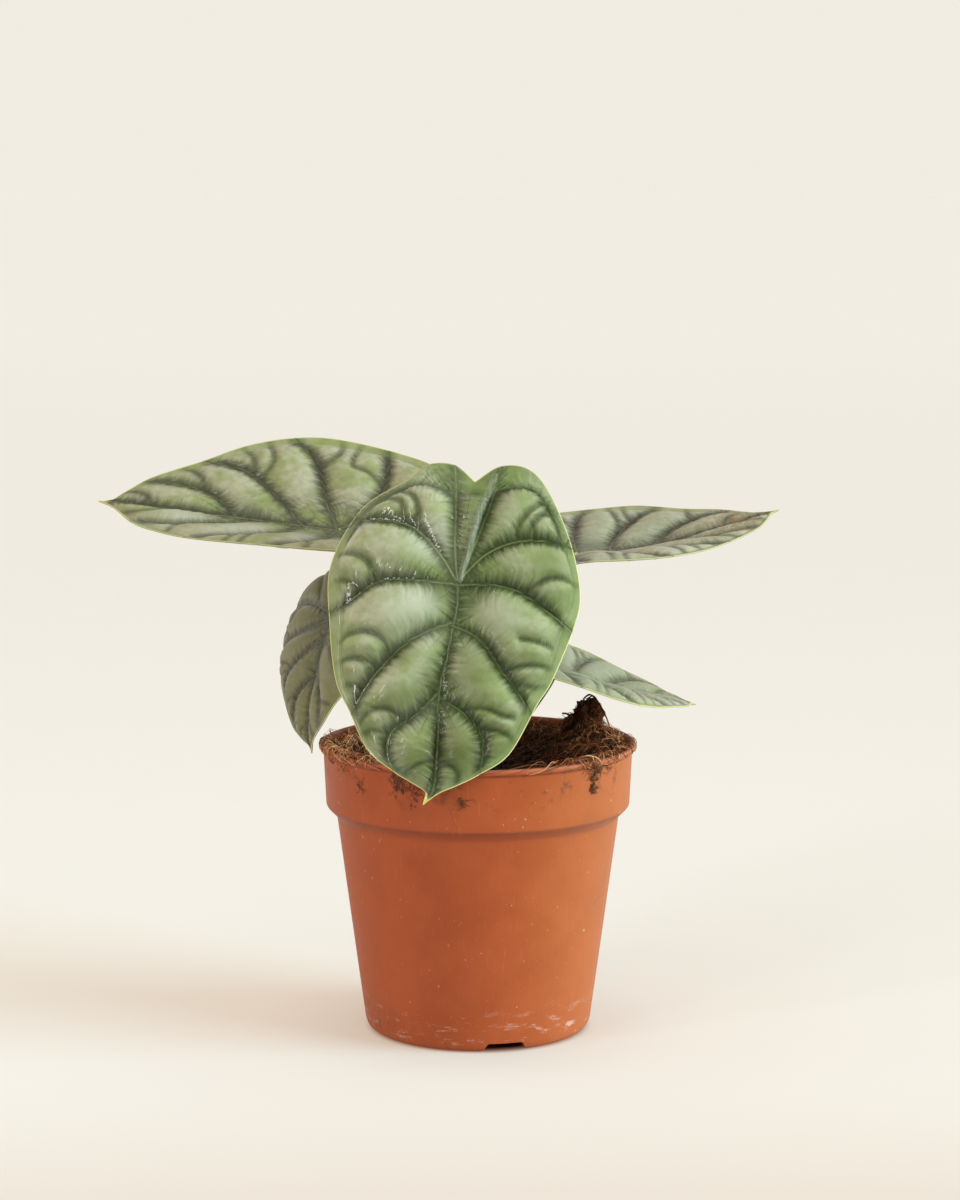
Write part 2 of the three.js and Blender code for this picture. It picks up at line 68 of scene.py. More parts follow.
# Windows, which give the leaves their glints: (name, watts, place, width and height, colour). They all face
# LIT_POINT.
LIT_POINT = (0, 0, 0.14)
WINDOWS = (
    ("left_window", 5.5, (-0.88, -1.15, 0.3), (0.2, 0.7), (1.0, 0.97, 0.93)),
    ("high_window", 2.6, (-0.98, -0.75, 0.8), (0.16, 0.4), (1.0, 0.98, 0.95)),
    ("right_window", 6.3, (1.25, -0.3, 0.24), (0.5, 0.6), (1.0, 0.88, 0.76)),
)

# Pot: outer radii and heights from the foot up to the rim.
RIM_R = 60
POT_H = 110
LIP_H = 2.3
BAND_TOP_R = 58.6
BAND_LOW_R = 57.6
BAND_LOW_Z = 86.5
SHOULDER = 4
BODY_TOP_R = 53.6
BODY_LOW_R = 43.2
CORNER_Z = 4.5
FOOT_R = 40.5
WALL = 1.4
POT_SIDES = 240
MIDDLE_R = 28
CHANNEL_H = 3.6
RING_IN_R = 36
NOTCHES = 3
NOTCH_LOW_W = 16.5
NOTCH_TOP_W = 13.5
NOTCH_TURN = 14
DRAIN_HOLES = 6
DRAIN_R = 3.2

# Soil: level in the middle, rise towards the wall, and two mounds: (x, y, height, spread).
SOIL_Z = 98
SOIL_RISE = 6
SOIL_MOUNDS = ((40, 11, 8.5, 19), (-44, -8, 3, 16))
SOIL_RINGS = 80
SOIL_SIDES = 220
# The clump of peat and roots on the mound at the right, in lumps: (centre, radii).
CLUMP = (
    ((42.5, 25, 113.5), (6, 5.5, 8.5)),
    ((37.5, 26, 109.5), (5.5, 5, 6.5)),
    ((45.5, 18.5, 108), (5.5, 5.5, 6)),
)
CLUMP_RINGS = 70
CLUMP_SIDES = 90
# Its fine roots, and the thicker roots and the twig that stand out of it: (radius, points).
FINE_ROOTS = 420
ROOTS = (
    (0.4, ((40.5, 23, 119.5), (41.2, 22, 123), (43.5, 21.5, 124.2), (46.2, 21, 121.8), (48.6, 20.5, 117.5),
           (50.5, 20, 113), (51.5, 19.5, 108))),
    (0.3, ((42.5, 22.5, 120), (43, 21, 123.3), (45, 20.5, 123.6), (46, 20.5, 121), (45.2, 22.5, 116))),
    (0.28, ((38, 22, 112), (37.6, 19.5, 114.2), (39.5, 18.2, 113), (40.5, 18.6, 109), (39.6, 17, 104))),
    (0.6, ((40, 23, 112), (36.6, 20.8, 115), (34.4, 19.8, 117), (32.4, 19.4, 117.3))),
    (0.45, ((36.8, 21, 114.8), (35.6, 20, 112.9), (34.6, 19.6, 111.8))),
)
# Loose crumbs and fibres: how many, how far out they start, and how far out a fibre may run.
CRUMBS = 2600
CRUMB_REACH = 55.2
FIBRES = 2300
FIBRE_REACH = 55
FIBRE_LIMIT = 55.8
# Where coir lies thick on the soil: (x, y, spread, depth).
MATS = ((-46, -14, 17, 8), (-40, 26, 14, 5), (42, -8, 14, 5), (44, 18, 12, 4), (24, 45, 13, 5))
# Where it hangs over the rim: (turn in degrees from the front, spread, fibres).
OVER_RIM = ((-72, 18, 150), (-48, 8, 34), (38, 7, 50), (60, 12, 44), (85, 9, 10))
# Peat stuck on the outside of the wall: (x, highest z, lowest z, width, size, crumbs, fibres, paleness).
STUCK = (
    (42.8, 109.5, 98.3, 2.2, 1.45, 34, 40, 0.3),
    (-55, 110, 106, 4, 0.6, 16, 22, 0.5),
    (-49.5, 108, 100, 2.4, 0.5, 8, 12, 0.45),
    (-44, 102.6, 97, 1.6, 0.4, 5, 8, 0.2),
    (-29, 107, 97, 5, 0.8, 16, 36, 0.2),
    (-23.5, 105, 94, 4, 0.6, 14, 26, 0.2),
    (-5.3, 100, 95, 3, 0.4, 8, 8, 0.2),
    (-8, 101, 90, 5, 0.3, 3, 2, 0.7),
    (48, 108, 103, 5, 0.5, 6, 8, 0.3),
    (10, 104, 92, 60, 0.25, 16, 0, 0.3),
)

# Leaf patterns, drawn flat: the stalk meets the blade at (0, 0), and the tip is about 84 ahead of it.
# A rib runs from the midrib out to the margin: (start y, middle x, middle y, end x, end y, band).
# band is the width of the smooth strip along the margin. A vein is a curve through its points. So are the
# branches, which are shallower, the rims, where the vein along the margin is folded, and the silver stripe.
FRONT_PATTERN = dict(
    tip=(-2, 83),
    left=(
        (0, 0.5, -21, 1, -42.5, 5), (0, -3, -22, -7.5, -49, 11), (0, -9, -23.5, -18, -48, 10),
        (0, -13, -21.5, -24.5, -40.5, 4), (0, -19, -18.5, -40.5, -28, 4), (0, -24, -8.5, -49.5, -4, 3),
        (0.5, -24, 2.5, -46, 20, 5.5), (8, -23, 17.5, -40.5, 40.5, 3.5), (17, -19.5, 29.5, -33, 52.5, 2.2),
        (30, -17.5, 43, -24.5, 65.5, 2), (43, -14.5, 55.5, -13.5, 72.5, 1.5), (57, -7, 66, -8, 75, 1),
        (71, -1.2, 75, -1.4, 78.4, 0.5),
    ),
    right=(
        (0, 0.5, -21, 1, -42.5, 5), (0, 4, -23, 9.5, -51, 12), (0, 10.5, -25, 20, -52, 10),
        (0, 13.5, -22.5, 29, -43.5, 4.5), (0, 18.5, -18, 40, -23.5, 4), (0, 22.5, -9.5, 46, -5, 3),
        (0.5, 22, -0.5, 45.5, 8.5, 4), (8, 20.5, 13.5, 39.5, 31, 2.6), (17, 17.5, 25, 35, 41, 3),
        (30, 16.5, 39.5, 27, 60.5, 2), (43, 14, 52, 17, 69.5, 1.5), (57, 8, 64.5, 9.5, 74.5, 1),
        (71, 1.8, 75, 3.4, 78, 0.5),
    ),
    veins=(
        ((0, 0), (1, 10), (-0.3, 30), (-1.3, 42), (0.6, 60), (1.2, 77), (-2, 83)),
        ((0, 0), (-2.8, -14), (-4.8, -32), (-7.5, -49)),
        ((0, 0), (-9.6, -12), (-20, -20.2), (-32, -22.5), (-43.5, -23)),
        ((0, 1), (-15, 1), (-29, 2.5), (-39.5, 11), (-47.5, 15)),
        ((0, 15.5), (-13, 23), (-25.5, 38), (-32.5, 53.5)),
        ((-1.2, 42), (-8.5, 50.5), (-16.5, 58), (-17, 66), (-14, 72.5)),
        ((0.5, 0), (5, -18), (8.4, -36), (9.5, -51)), ((0, 0), (9.7, -12.8), (23, -20.3), (40.8, -22.3)),
        ((0, 1), (17.4, -0.6), (29.7, 3.6), (45, 11.5)), ((0, 16.5), (10.8, 20.8), (22, 33), (34, 45.5)),
        ((-1, 43.5), (8, 47.7), (16, 55.5), (17.4, 68)),
    ),
    branches=(
        ((-29, 2.8), (-31, -1), (-36, -6), (-46, -8.5)), ((-35, 5.5), (-39.5, 3.7), (-46, 2)),
        ((-20, 29), (-25.5, 24), (-32, 23), (-41, 26.5)), ((-23.5, 35), (-31, 33), (-40, 34)),
        ((-28, 43.2), (-35.5, 42.4)), ((-17, 58.7), (-22.5, 58.5), (-27.5, 60)),
        ((-12.5, 53), (-18, 50.4), (-24, 51), (-28.5, 56)),
        ((-10, 72.7), (-7, 70), (-3, 67.4), (0.5, 66.5)),
        ((-17, -19.5), (-18, -26.5), (-20, -31), (-24.5, -34)),
        ((-22.5, -21), (-23.7, -27.4), (-26, -30), (-33, -31.5)),
        ((26, -0.3), (28.5, -3), (34, -6.5), (44, -7.5)), ((21, 31), (25, 29.3), (31, 27.7), (38.5, 26.8)),
        ((28, 35), (32.4, 35.2), (36.5, 34)), ((15, 53.8), (20, 53.2), (25, 54.2), (28.5, 56)),
        ((18.5, -21), (19.5, -26), (22, -31), (26, -36)), ((22.5, -21), (24.5, -27.5), (29.5, -34.5)),
        ((1.3, 67), (5.5, 67.4), (8.8, 70), (9.4, 73.5)), ((9, 47), (16, 46), (21, 47.3), (26, 47.7)),
        ((24.7, 19), (29.7, 18.9), (37, 19.5)),
    ),
    rims=(
        ((-4.8, -32), (-8.5, -35), (-19.5, -38), (-29, -34.5), (-38.5, -27), (-43, -16)),
        ((7.7, -33.6), (11, -38.6), (21.3, -42.4), (30, -34.7), (37, -22.5)),
    ),
    stripe=((0.8, -1.1), (2.7, -14.4), (4.4, -27.4), (6.6, -38), (8, -46.3)),
)
SIDE_PATTERN = dict(
    tip=(0, 85.5),
    left=(
        (0, 0, -21, 0, -43, 5), (0, -3.5, -24, -9, -48.5, 8), (0, -11.5, -23, -25, -45.5, 5),
        (0, -18, -17, -40, -29, 4), (0, -24, -10, -46, -12.5, 3.5), (0, -24, -1, -48.5, 10.5, 3.5),
        (0, -27, 12, -46, 26.5, 3.5), (6, -23.5, 21.5, -39, 42, 3.5), (12.5, -20, 30.5, -28.5, 55.5, 3),
        (24, -15.5, 41, -21.5, 65, 2.5), (34.5, -13, 50, -15.5, 72, 2), (52, -7, 65, -7, 78, 1.5),
        (68, -1.8, 75.5, -1.6, 81.4, 0.5),
    ),
    right=(
        (0, 0, -21, 0, -43, 5), (0, 3.5, -24, 9, -49, 8), (0, 11, -24, 24, -47, 5),
        (0, 17, -18, 37.5, -32, 4), (0, 24, -10, 44.5, -14, 3.5), (0, 24, -2.5, 44, 2, 3.5),
        (0, 22, 4.5, 43.5, 17.5, 3.5), (6, 20.5, 14.5, 41, 33, 3.5), (12.5, 19.5, 22.5, 36.5, 42.5, 3),
        (24, 14.5, 34, 27.5, 54.5, 2.5), (34.5, 12, 44.5, 18.5, 66.5, 2), (52, 6.5, 63, 6.5, 76.5, 1.5),
        (68, 2, 75, 2.9, 80.2, 0.5),
    ),
    veins=(
        ((0, 0), (0, 40), (0, 85.5)), ((0, 0), (-3, -20), (-8, -48)),
        ((0, 0), (-9, -6), (-27, -11), (-47, -8)), ((0, 0), (-16, 7.5), (-35.5, 15.5), (-46, 26.5)),
        ((0, 12), (-18, 28.5), (-26, 39), (-29, 53.5)), ((0, 35.5), (-11.5, 48), (-14.2, 60), (-14.2, 72)),
        ((0, 0), (3, -20), (9, -49)), ((0, 0), (9, -6), (27, -13), (43.5, -14)),
        ((0, 0), (17, 3), (35.5, 9.7), (43.5, 16.5)), ((0, 13), (14.5, 19.5), (27, 32), (35, 45.5)),
        ((0, 31), (10, 41), (15.5, 55), (15.5, 69)),
    ),
    branches=(
        ((-32, 13.6), (-36.5, 10), (-41, 7.7), (-48, 9)),
        ((-22.5, 32), (-28.5, 30.5), (-33, 30), (-43, 34.5)),
        ((-25, 36), (-30, 36.5), (-34, 39), (-38, 43)),
        ((-13, 51), (-17.5, 52.3), (-20.5, 55.6), (-23.3, 61)),
        ((0, 65.5), (-4, 68.8), (-6, 72.5), (-6.6, 77)), ((-47, 2), (-35, 2.5), (-33, -3), (-28, -10)),
        ((17, 21), (25, 24), (33, 24), (42, 25)), ((25.5, 30), (32.7, 29), (41, 31)),
        ((16, 52.4), (20.7, 52.7), (27, 55)), ((0, 60), (5, 64), (7.5, 69), (8, 75)),
        ((27, 6), (32, 2.5), (38, 1), (44, 2)), ((-14, -8.5), (-18, -20), (-24, -30), (-32, -39)),
        ((14, -8.5), (17, -20), (24, -30), (31, -40)),
    ),
    rims=(),
    stripe=(),
)
# How far the quilting takes to rise from a vein and from the band, and half of the blade's thickness.
QUILT_W = 5.5
BAND_SLOPE = 4
HALF_T = 0.35

# The distance to a stripe that a leaf doesn't have.
NO_STRIPE = 99.0

# Stalks and stem: where they stand, and the mesh of a stalk.
STEM_AT = (-2, 5)
STALK_STEPS = 60
STALK_SIDES = 20

# What the side leaves share.
SIDE_LEAF = dict(pattern=SIDE_PATTERN, grid=(13, 50, 8), wear=(0, 0, 0))

# Each leaf's place and form, as on the solids. stalk is its stalk's path from the stem base to the blade.
# grid is the columns for each rib and the rows of the quilted part and of the band. wear is the centre and
# the size of a brown patch.
LEAVES = {
    "front": dict(
        pattern=FRONT_PATTERN, at=(-7.4, -38, 175.6), yaw=-106, pitch=62, roll=14, bend=0.0035,
        lobe_bend=0.006, fold=(4, 4), curl=(0.011, 0.011), twist=0, across=1, along=1, quilt=7.5,
        grid=(19, 76, 10), seed=3, wear=(0, 0, 0),
        stalk=((-1, -1, 108), (0, -13, 135), (-3, -24, 158), (-7, -34.5, 172.5)),
    ),
    "upper_left": dict(
        SIDE_LEAF, at=(-54.5, 32, 186.5), yaw=168.1, pitch=-5.6, roll=19.5, bend=0,
        lobe_bend=-0.0025, fold=(8.8, 3.3), curl=(-0.0069, -0.0111), twist=-0.0009, across=1.023,
        along=1.13, quilt=5.5, seed=11,
        stalk=((-5, 9, 108), (-14, 30, 138), (-34, 44, 166), (-50.5, 36, 181)),
    ),
    "upper_right": dict(
        SIDE_LEAF, at=(38.3, 28, 177.4), yaw=16.1, pitch=-0.9, roll=-5, bend=-0.004,
        lobe_bend=0.0121, fold=(4.6, 7.4), curl=(-0.004, -0.007), twist=0.0009, across=0.845,
        along=0.986, quilt=5, seed=19, wear=(-2, 68, 16),
        stalk=((-4, 3, 108), (-8, -3, 130), (-8, -4, 146), (4, 4, 161), (24, 19, 172)),
    ),
    "lower_left": dict(
        SIDE_LEAF, at=(-54.6, 4, 156), yaw=222, pitch=62, roll=-10, bend=0.0092,
        lobe_bend=0.022, fold=(4, 22), curl=(0.0103, 0.014), twist=0.0015, across=0.98,
        along=0.605, quilt=3.5, seed=27,
        stalk=((-7, 5, 108), (-21, 8, 124), (-38, 9, 142), (-49.5, 6, 152.5)),
    ),
    "lower_right": dict(
        SIDE_LEAF, at=(28.5, 22.1, 132.2), yaw=26.6, pitch=20.6, roll=-9.4, bend=-0.0032,
        lobe_bend=0.0053, fold=(12.4, 10.7), curl=(0.0053, -0.0027), twist=0.0002, across=0.785,
        along=0.773, quilt=4.5, seed=35,
        stalk=((3, 5, 107), (14, 8, 114), (22, 16, 122.5), (27.5, 21.5, 129.5)),
    ),
}

# Each leaf's colours, from the silvery quilting down to the folds beside the veins, then the smooth margin
# and the underside. gloss is the shine beside the veins, patchy the share of green patches, and shaded the
# strength of the light and shade painted on the leaf: painted shade on its right, at its tip and where it
# faces down, painted light where it faces up, and a stronger painted highlight on its veins. silver and deep
# are paler and greener patches, the paler ones painted sheen, in the coordinates of the pattern: (x, y,
# reach).
LEAF_LOOKS = {
    "front": dict(
        pale=(0.39, 0.41, 0.25), green=(0.22, 0.295, 0.07), flank=(0.092, 0.13, 0.036),
        dark=(0.016, 0.03, 0.004), margin=(0.2, 0.26, 0.09), under=(0.3, 0.34, 0.17),
        gloss=1.0, patchy=0.5, shaded=0.65, silver=((-11, -14, 13), (-14, 16, 17), (16, 12, 12)),
        deep=((-15, 47, 10), (9, 61, 12), (11, 31, 11), (4, -30, 12), (33, -12, 12), (7, 0, 8), (-17, 31, 8)),
    ),
    "upper_left": dict(
        pale=(0.42, 0.41, 0.26), green=(0.25, 0.3, 0.09), flank=(0.1, 0.11, 0.05),
        dark=(0.025, 0.03, 0.01), margin=(0.22, 0.27, 0.07), under=(0.26, 0.27, 0.14),
        gloss=0.5, patchy=0.75, silver=((20, 2, 20), (18, 28, 18), (12, 54, 15)),
    ),
    "upper_right": dict(
        pale=(0.44, 0.43, 0.3), green=(0.28, 0.31, 0.16), flank=(0.14, 0.14, 0.085),
        dark=(0.035, 0.038, 0.02), margin=(0.26, 0.29, 0.1), under=(0.26, 0.27, 0.14),
        gloss=0.4, patchy=0.4, silver=((-16, 2, 16), (-14, 26, 15)),
    ),
    # lower_left has darker colours than the other side leaves: painted shade, since it faces down.
    "lower_left": dict(
        pale=(0.19, 0.175, 0.08), green=(0.13, 0.15, 0.04), flank=(0.09, 0.085, 0.035),
        dark=(0.035, 0.036, 0.013), margin=(0.12, 0.15, 0.035), under=(0.2, 0.2, 0.1),
        gloss=0.4, patchy=0.5,
    ),
    "lower_right": dict(
        pale=(0.37, 0.36, 0.24), green=(0.27, 0.29, 0.12), flank=(0.2, 0.2, 0.12),
        dark=(0.085, 0.088, 0.045), margin=(0.36, 0.38, 0.1), under=(0.3, 0.3, 0.12),
        gloss=0.4, patchy=0.4,
    ),
}


# Meshes


def columns(*values):
    return np.stack(values, axis=-1)


def triples(*values):
    """Rows of three from values that belong together, in their order."""
    return columns(*values).reshape(-1, 3)


def merged(points, triangles):
    """The same triangles with points in one place joined, and flat triangles dropped."""
    spots = np.round(points * 1e4).astype(np.int64)
    _, first, number = np.unique(spots, axis=0, return_index=True, return_inverse=True)
    triangles = number.reshape(-1)[triangles]
    a, b, c = triangles.T
    return first, triangles[(a != b) & (b != c) & (c != a)]


def new_object(name, points, triangles, material, fields=None):
    """A smooth mesh object from points in mm and triangles. fields are values or vectors at its points."""
    mesh = bpy.data.meshes.new(name)
    mesh.vertices.add(len(points))
    mesh.vertices.foreach_set("co", (np.asarray(points) * MM).ravel())
    mesh.loops.add(triangles.size)
    mesh.loops.foreach_set("vertex_index", np.asarray(triangles, np.int32).ravel())
    mesh.polygons.add(len(triangles))
    mesh.polygons.foreach_set("loop_start", np.arange(0, triangles.size, 3, dtype=np.int32))
    mesh.update(calc_edges=True)
    mesh.shade_smooth()
    for field, values in (fields or {}).items():
        vectors = columns(values, values, values) if values.ndim == 1 else values
        attribute = mesh.attributes.new(field, "FLOAT_VECTOR", "POINT")
        attribute.data.foreach_set("vector", vectors.astype(np.float32).ravel())
    mesh.materials.append(material)
    piece = bpy.data.objects.new(name, mesh)
    bpy.context.scene.collection.objects.link(piece)
    return piece


def stands_for(piece, slot, *nodes):
    """Ties a piece to the object and hides the solids that it replaces. slot is not used."""
    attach(piece, "root")
    if nodes:
        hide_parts(*nodes)


def normed(vectors):
    return vectors / (np.linalg.norm(vectors, axis=1, keepdims=True) + 1e-9)


def ring_turns(sides):
    return np.arange(sides) * 2 * math.pi / sides


def ring_triangles(rings, sides):
    """Triangles between rings of points, each of which closes on itself."""
    low = np.arange(rings - 1)[:, None] * sides
    side = np.arange(sides)[None]
    after = (side + 1) % sides
    a, b, c, d = low + side, low + after, low + sides + after, low + sides + side
    return triples(a, b, c, a, c, d)


def joined(shapes):
    """Several sets of points and triangles as one."""
    starts = np.cumsum([0] + [len(points) for points, _ in shapes])
    triangles = [triangles + start for (_, triangles), start in zip(shapes, starts)]
    return np.concatenate([points for points, _ in shapes]), np.concatenate(triangles)


def turned(profile, sides):
    """Points and triangles of a profile of (radius, height) turned about Z."""
    profile = np.asarray(profile, float)
    turn = ring_turns(sides)
    x, y = np.outer(profile[:, 0], np.sin(turn)), np.outer(profile[:, 0], -np.cos(turn))
    points = triples(x, y, np.repeat(profile[:, 1:], sides, axis=1))
    first, triangles = merged(points, ring_triangles(len(profile), sides))
    return points[first], triangles


def tubes(paths, radii, sides):
    """Points and triangles of round tubes with closed ends. Each path is a row of points, and radii match."""
    shapes = []
    turn = ring_turns(sides)
    fan = np.arange(1, sides - 1)
    for path, radius in zip(paths, radii):
        path = np.asarray(path, float)
        ahead = normed(np.gradient(path, axis=0))
        across = normed(np.cross(ahead, ASIDE))
        up = np.cross(across, ahead)
        radius = np.broadcast_to(np.asarray(radius, float), len(path))[:, None, None]
        ring = across[:, None] * np.cos(turn)[None, :, None] + up[:, None] * np.sin(turn)[None, :, None]
        start = columns(0 * fan, fan + 1, fan)
        end = columns(0 * fan, fan, fan + 1) + (len(path) - 1) * sides
        faces = np.concatenate([ring_triangles(len(path), sides), start, end])
        shapes.append(((path[:, None] + ring * radius).reshape(-1, 3), faces))
    return joined(shapes)


# Leaves


def straight(rows, t):
    """Rows read between their entries along straight lines."""
    i = np.minimum(t.astype(int), len(rows) - 2)
    share = (t - i)[:, None]
    return rows[i] * (1 - share) + rows[i + 1] * share


def smooth(rows, t):
    """Rows read between their entries along a smooth curve through all of them."""
    last = len(rows) - 1
    padded = np.vstack([2 * rows[0] - rows[1], rows, 2 * rows[last] - rows[last - 1]])
    i = np.minimum(t.astype(int), last - 1)
    f = (t - i)[:, None]
    a, b, c, d = (padded[i + k] for k in range(4))
    return 0.5 * (2 * b + (c - a) * f + (2 * a - 5 * b + 4 * c - d) * f**2 + (3 * b - a - 3 * c + d) * f**3)


def pattern_rows(pattern, half):
    """One half of a pattern as rows: start, middle and end, each x and y, then band. The tip is the last."""
    ribs = [(0, *rib) for rib in pattern[half]]
    return np.array(ribs + [(*pattern["tip"], *pattern["tip"], *pattern["tip"], 0)], float)


def flat_points(rows, t, s):
    """Flat points of the leaf, by rib number t and share s of the way from the midrib to the margin."""
    start = straight(rows[:, :2], t)
    end = smooth(rows[:, 4:6], t)
    pull = 2 * straight(rows[:, 2:4], t) - (start + end) / 2
    s = s[:, None]
    return (1 - s) ** 2 * start + 2 * s * (1 - s) * pull + s * s * end


def on_line(points, line):
    """Each point's distance to a row of points, how far along it that is, and its side."""
    line = np.asarray(line, float)
    best = np.full(len(points), np.inf)
    along = np.zeros(len(points))
    side = np.zeros(len(points))
    done = 0.0
    for a, b in zip(line[:-1], line[1:]):
        step = b - a
        length = math.hypot(*step)
        away = points - a
        share = np.clip(away @ step / length**2, 0, 1)
        distance = np.linalg.norm(away - share[:, None] * step, axis=1)
        near = distance < best
        best[near] = distance[near]
        along[near] = done + share[near] * length
        side[near] = np.sign(step[0] * away[near, 1] - step[1] * away[near, 0])
        done += length
    return best, along, side


def smooth_path(points, steps):
    """A smooth curve through points, in equal steps of its parameter."""
    rows = np.asarray(points, float)
    return smooth(rows, np.linspace(0, len(rows) - 1, steps + 1))


def half_grid(pattern, half, grid):
    """Flat points, and their distances in from the band, for the mesh of one half of a leaf."""
    per_rib, quilt_rows, band_rows = grid
    rows = pattern_rows(pattern, half)
    t = np.linspace(0, len(rows) - 1, (len(rows) - 1) * per_rib + 1)
    one = np.ones_like(t)
    length = np.linalg.norm(flat_points(rows, t, one) - flat_points(rows, t, 0 * one), axis=1)
    band = np.where(length > 0.01, straight(rows[:, 6:], t)[:, 0] / np.maximum(length, 0.01), 0)
    quilted = np.linspace(0, 1, quilt_rows + 1)
    outer = np.linspace(0, 1, band_rows + 1)[1:]
    s = np.concatenate([np.outer(1 - band, quilted), (1 - band)[:, None] + np.outer(band, outer)], axis=1)
    t = np.repeat(t, s.shape[1])
    flat = flat_points(rows, t, s.ravel())
    inside = ((1 - band)[:, None] - s) * length[:, None]
    inside[:, 0] = (pattern["tip"][1] - flat.reshape(*s.shape, 2)[:, 0, 1]) / 2
    return flat, inside.ravel()


def fading(distance, reach):
    """From 1 at a line down to 0 well away from it."""
    return np.exp(-np.maximum(distance, 0) / reach)


def hump(distance, width):
    """From 1 on a line down to 0 beside it, with a round top."""
    return np.exp(-((distance / width) ** 2))


def wavy(place, rng):
    """Rounded folds with sharp gaps between them, by the place along a vein in mm. From 0 to 1."""
    place = place + 0.7 * np.sin(place * 0.41 + rng.uniform(0, 6.3))
    total = np.zeros_like(place)
    for length, weight in ((1.5, 0.4), (2.4, 0.4), (4.7, 0.35)):
        length = length * rng.uniform(0.9, 1.1)
        total += weight * np.abs(np.sin(math.pi * place / length + rng.uniform(0, 3.1)))
    return total


def leaf_fields(pattern, flat, inside):
    """What the relief and the colours need at each flat point, apart from each leaf's own folds."""
    lines = [on_line(flat, smooth_path(vein, 20)) for vein in (*pattern["veins"], *pattern["rims"])]
    distances = np.stack([distance for distance, _, _ in lines])
    veins = distances[:len(pattern["veins"])]
    number = np.argmin(distances, axis=0)
    every = np.arange(len(flat))
    along = np.stack([place for _, place, _ in lines])[number, every]
    side = np.stack([side for _, _, side in lines])[number, every]
    # Each side of each vein starts at its own place, so that their folds differ.
    along = along + 61 * number + 23 * (side > 0)
    margins = []
    for half in ("left", "right"):
        t = np.linspace(0, len(pattern[half]), 170)
        margins.append(flat_points(pattern_rows(pattern, half), t, np.ones_like(t)))
    stripe = np.full(len(flat), NO_STRIPE)
    if pattern["stripe"]:
        stripe = on_line(flat, smooth_path(pattern["stripe"], 16))[0]
    return dict(
        lines=lines,
        near=distances.min(axis=0),
        along=along,
        vein=veins.min(axis=0),
        pillow=np.prod(1 - fading(veins, QUILT_W), axis=0),
        branch=np.min([on_line(flat, smooth_path(line, 9))[0] for line in pattern["branches"]], axis=0),
        edge=np.min([on_line(flat, margin)[0] for margin in margins], axis=0),
        inside=inside,
        stripe=stripe,
        lobe=np.clip((-26 - flat[:, 1]) / 10, 0, 1) * bool(pattern["rims"]),
    )


def folds(field, seed):
    """The fine folds across the veins, which differ from leaf to leaf. From 0 to 1."""
    rng = np.random.default_rng(seed)
    total = np.zeros(len(field["vein"]))
    weights = np.full(len(total), 1e-12)
    for distance, place, side in field["lines"]:
        for one_side in (-1, 1):
            slant = place + 0.3 * distance + 0.5 * np.sin(distance * 0.6 + rng.uniform(0, 6.3))
            weight = fading(distance, 1.6) * (side == one_side)
            total += weight * wavy(slant, rng)
            weights += weight
    return total / weights


def relief(leaf, field, fold):
    """Heights of the upper and the under face off the leaf's middle surface."""
    vein, near, branch, edge = field["vein"], field["near"], field["branch"], field["edge"]
    inside, lobe = field["inside"], field["lobe"]
    fade = 1 - fading(inside, BAND_SLOPE)
    quilt = leaf["quilt"] * field["pillow"] * (1 - 0.45 * fading(branch, 1.9)) * fade
    folded = np.maximum(fade, lobe * (1 - fading(edge, 2.5)))
    reach = 0.75 * fading(near, 3.6) + 0.24 * fading(near, 12) + 0.45 * lobe * fading(inside, 2)
    fine = reach * (1 - hump(near, 0.6)) * (fold - 0.7) * folded
    stripe = 1.1 * hump(field["stripe"], 1.0) * fade
    cord = 0.22 * hump(vein, 0.35) * fade
    groove = 0.3 * hump(inside - 0.3, 0.6) * (1 - fading(edge, 2))
    thin = HALF_T * (0.6 + 0.4 * (1 - fading(edge, 0.8)))
    ridge = (0.6 * hump(vein, 0.9) + 0.2 * hump(branch, 0.6)) * (1 - fading(inside, 9))
    upper = quilt + fine + stripe + cord - groove + thin
    return upper, quilt + 0.6 * fine - ridge - thin


def leaf_axes(leaf):
    """The directions towards the tip, up from the face and to the right, where the stalk meets the leaf."""
    yaw, pitch, roll = (math.radians(leaf[key]) for key in ("yaw", "pitch", "roll"))
    forward = np.array([math.cos(yaw) * math.cos(pitch), math.sin(yaw) * math.cos(pitch), -math.sin(pitch)])
    level = np.array([math.cos(yaw) * math.sin(pitch), math.sin(yaw) * math.sin(pitch), math.cos(pitch)])
    across = np.cross(level, forward)
    up = math.cos(roll) * level + math.sin(roll) * across
    right = math.cos(roll) * across - math.sin(roll) * level
    return forward, up, right


def lay(leaf, flat, height):
    """Flat points at heights off the face, folded, curled and bent into place."""
    x = flat[:, 0] * leaf["across"]
    y = flat[:, 1] * leaf["along"]
    half = (x > 0).astype(int)
    fold = np.radians(np.asarray(leaf["fold"], float))[half]
    curl = np.asarray(leaf["curl"], float)[half]
    curl = np.where(curl == 0, 1e-9, curl)
    lean = fold - curl * np.abs(x)
    out = (np.sin(fold) - np.sin(lean)) / curl - np.sin(lean) * height
    rise = (np.cos(lean) - np.cos(fold)) / curl + np.cos(lean) * height
    twist = leaf["twist"] * y
    across = np.sign(x) * out * np.cos(twist) - rise * np.sin(twist)
    above = np.sign(x) * out * np.sin(twist) + rise * np.cos(twist)
    bend = np.where(y > 0, leaf["bend"], leaf["lobe_bend"])
    bend = np.where(np.abs(bend) < 1e-6, 1e-6, bend)
    ahead = np.sin(bend * y) / bend + above * np.sin(bend * y)
    lift = above * np.cos(bend * y) - (1 - np.cos(bend * y)) / bend
    forward, up, right = leaf_axes(leaf)
    at = np.asarray(leaf["at"], float)
    return at + np.outer(ahead, forward) + np.outer(lift, up) + np.outer(across, right)


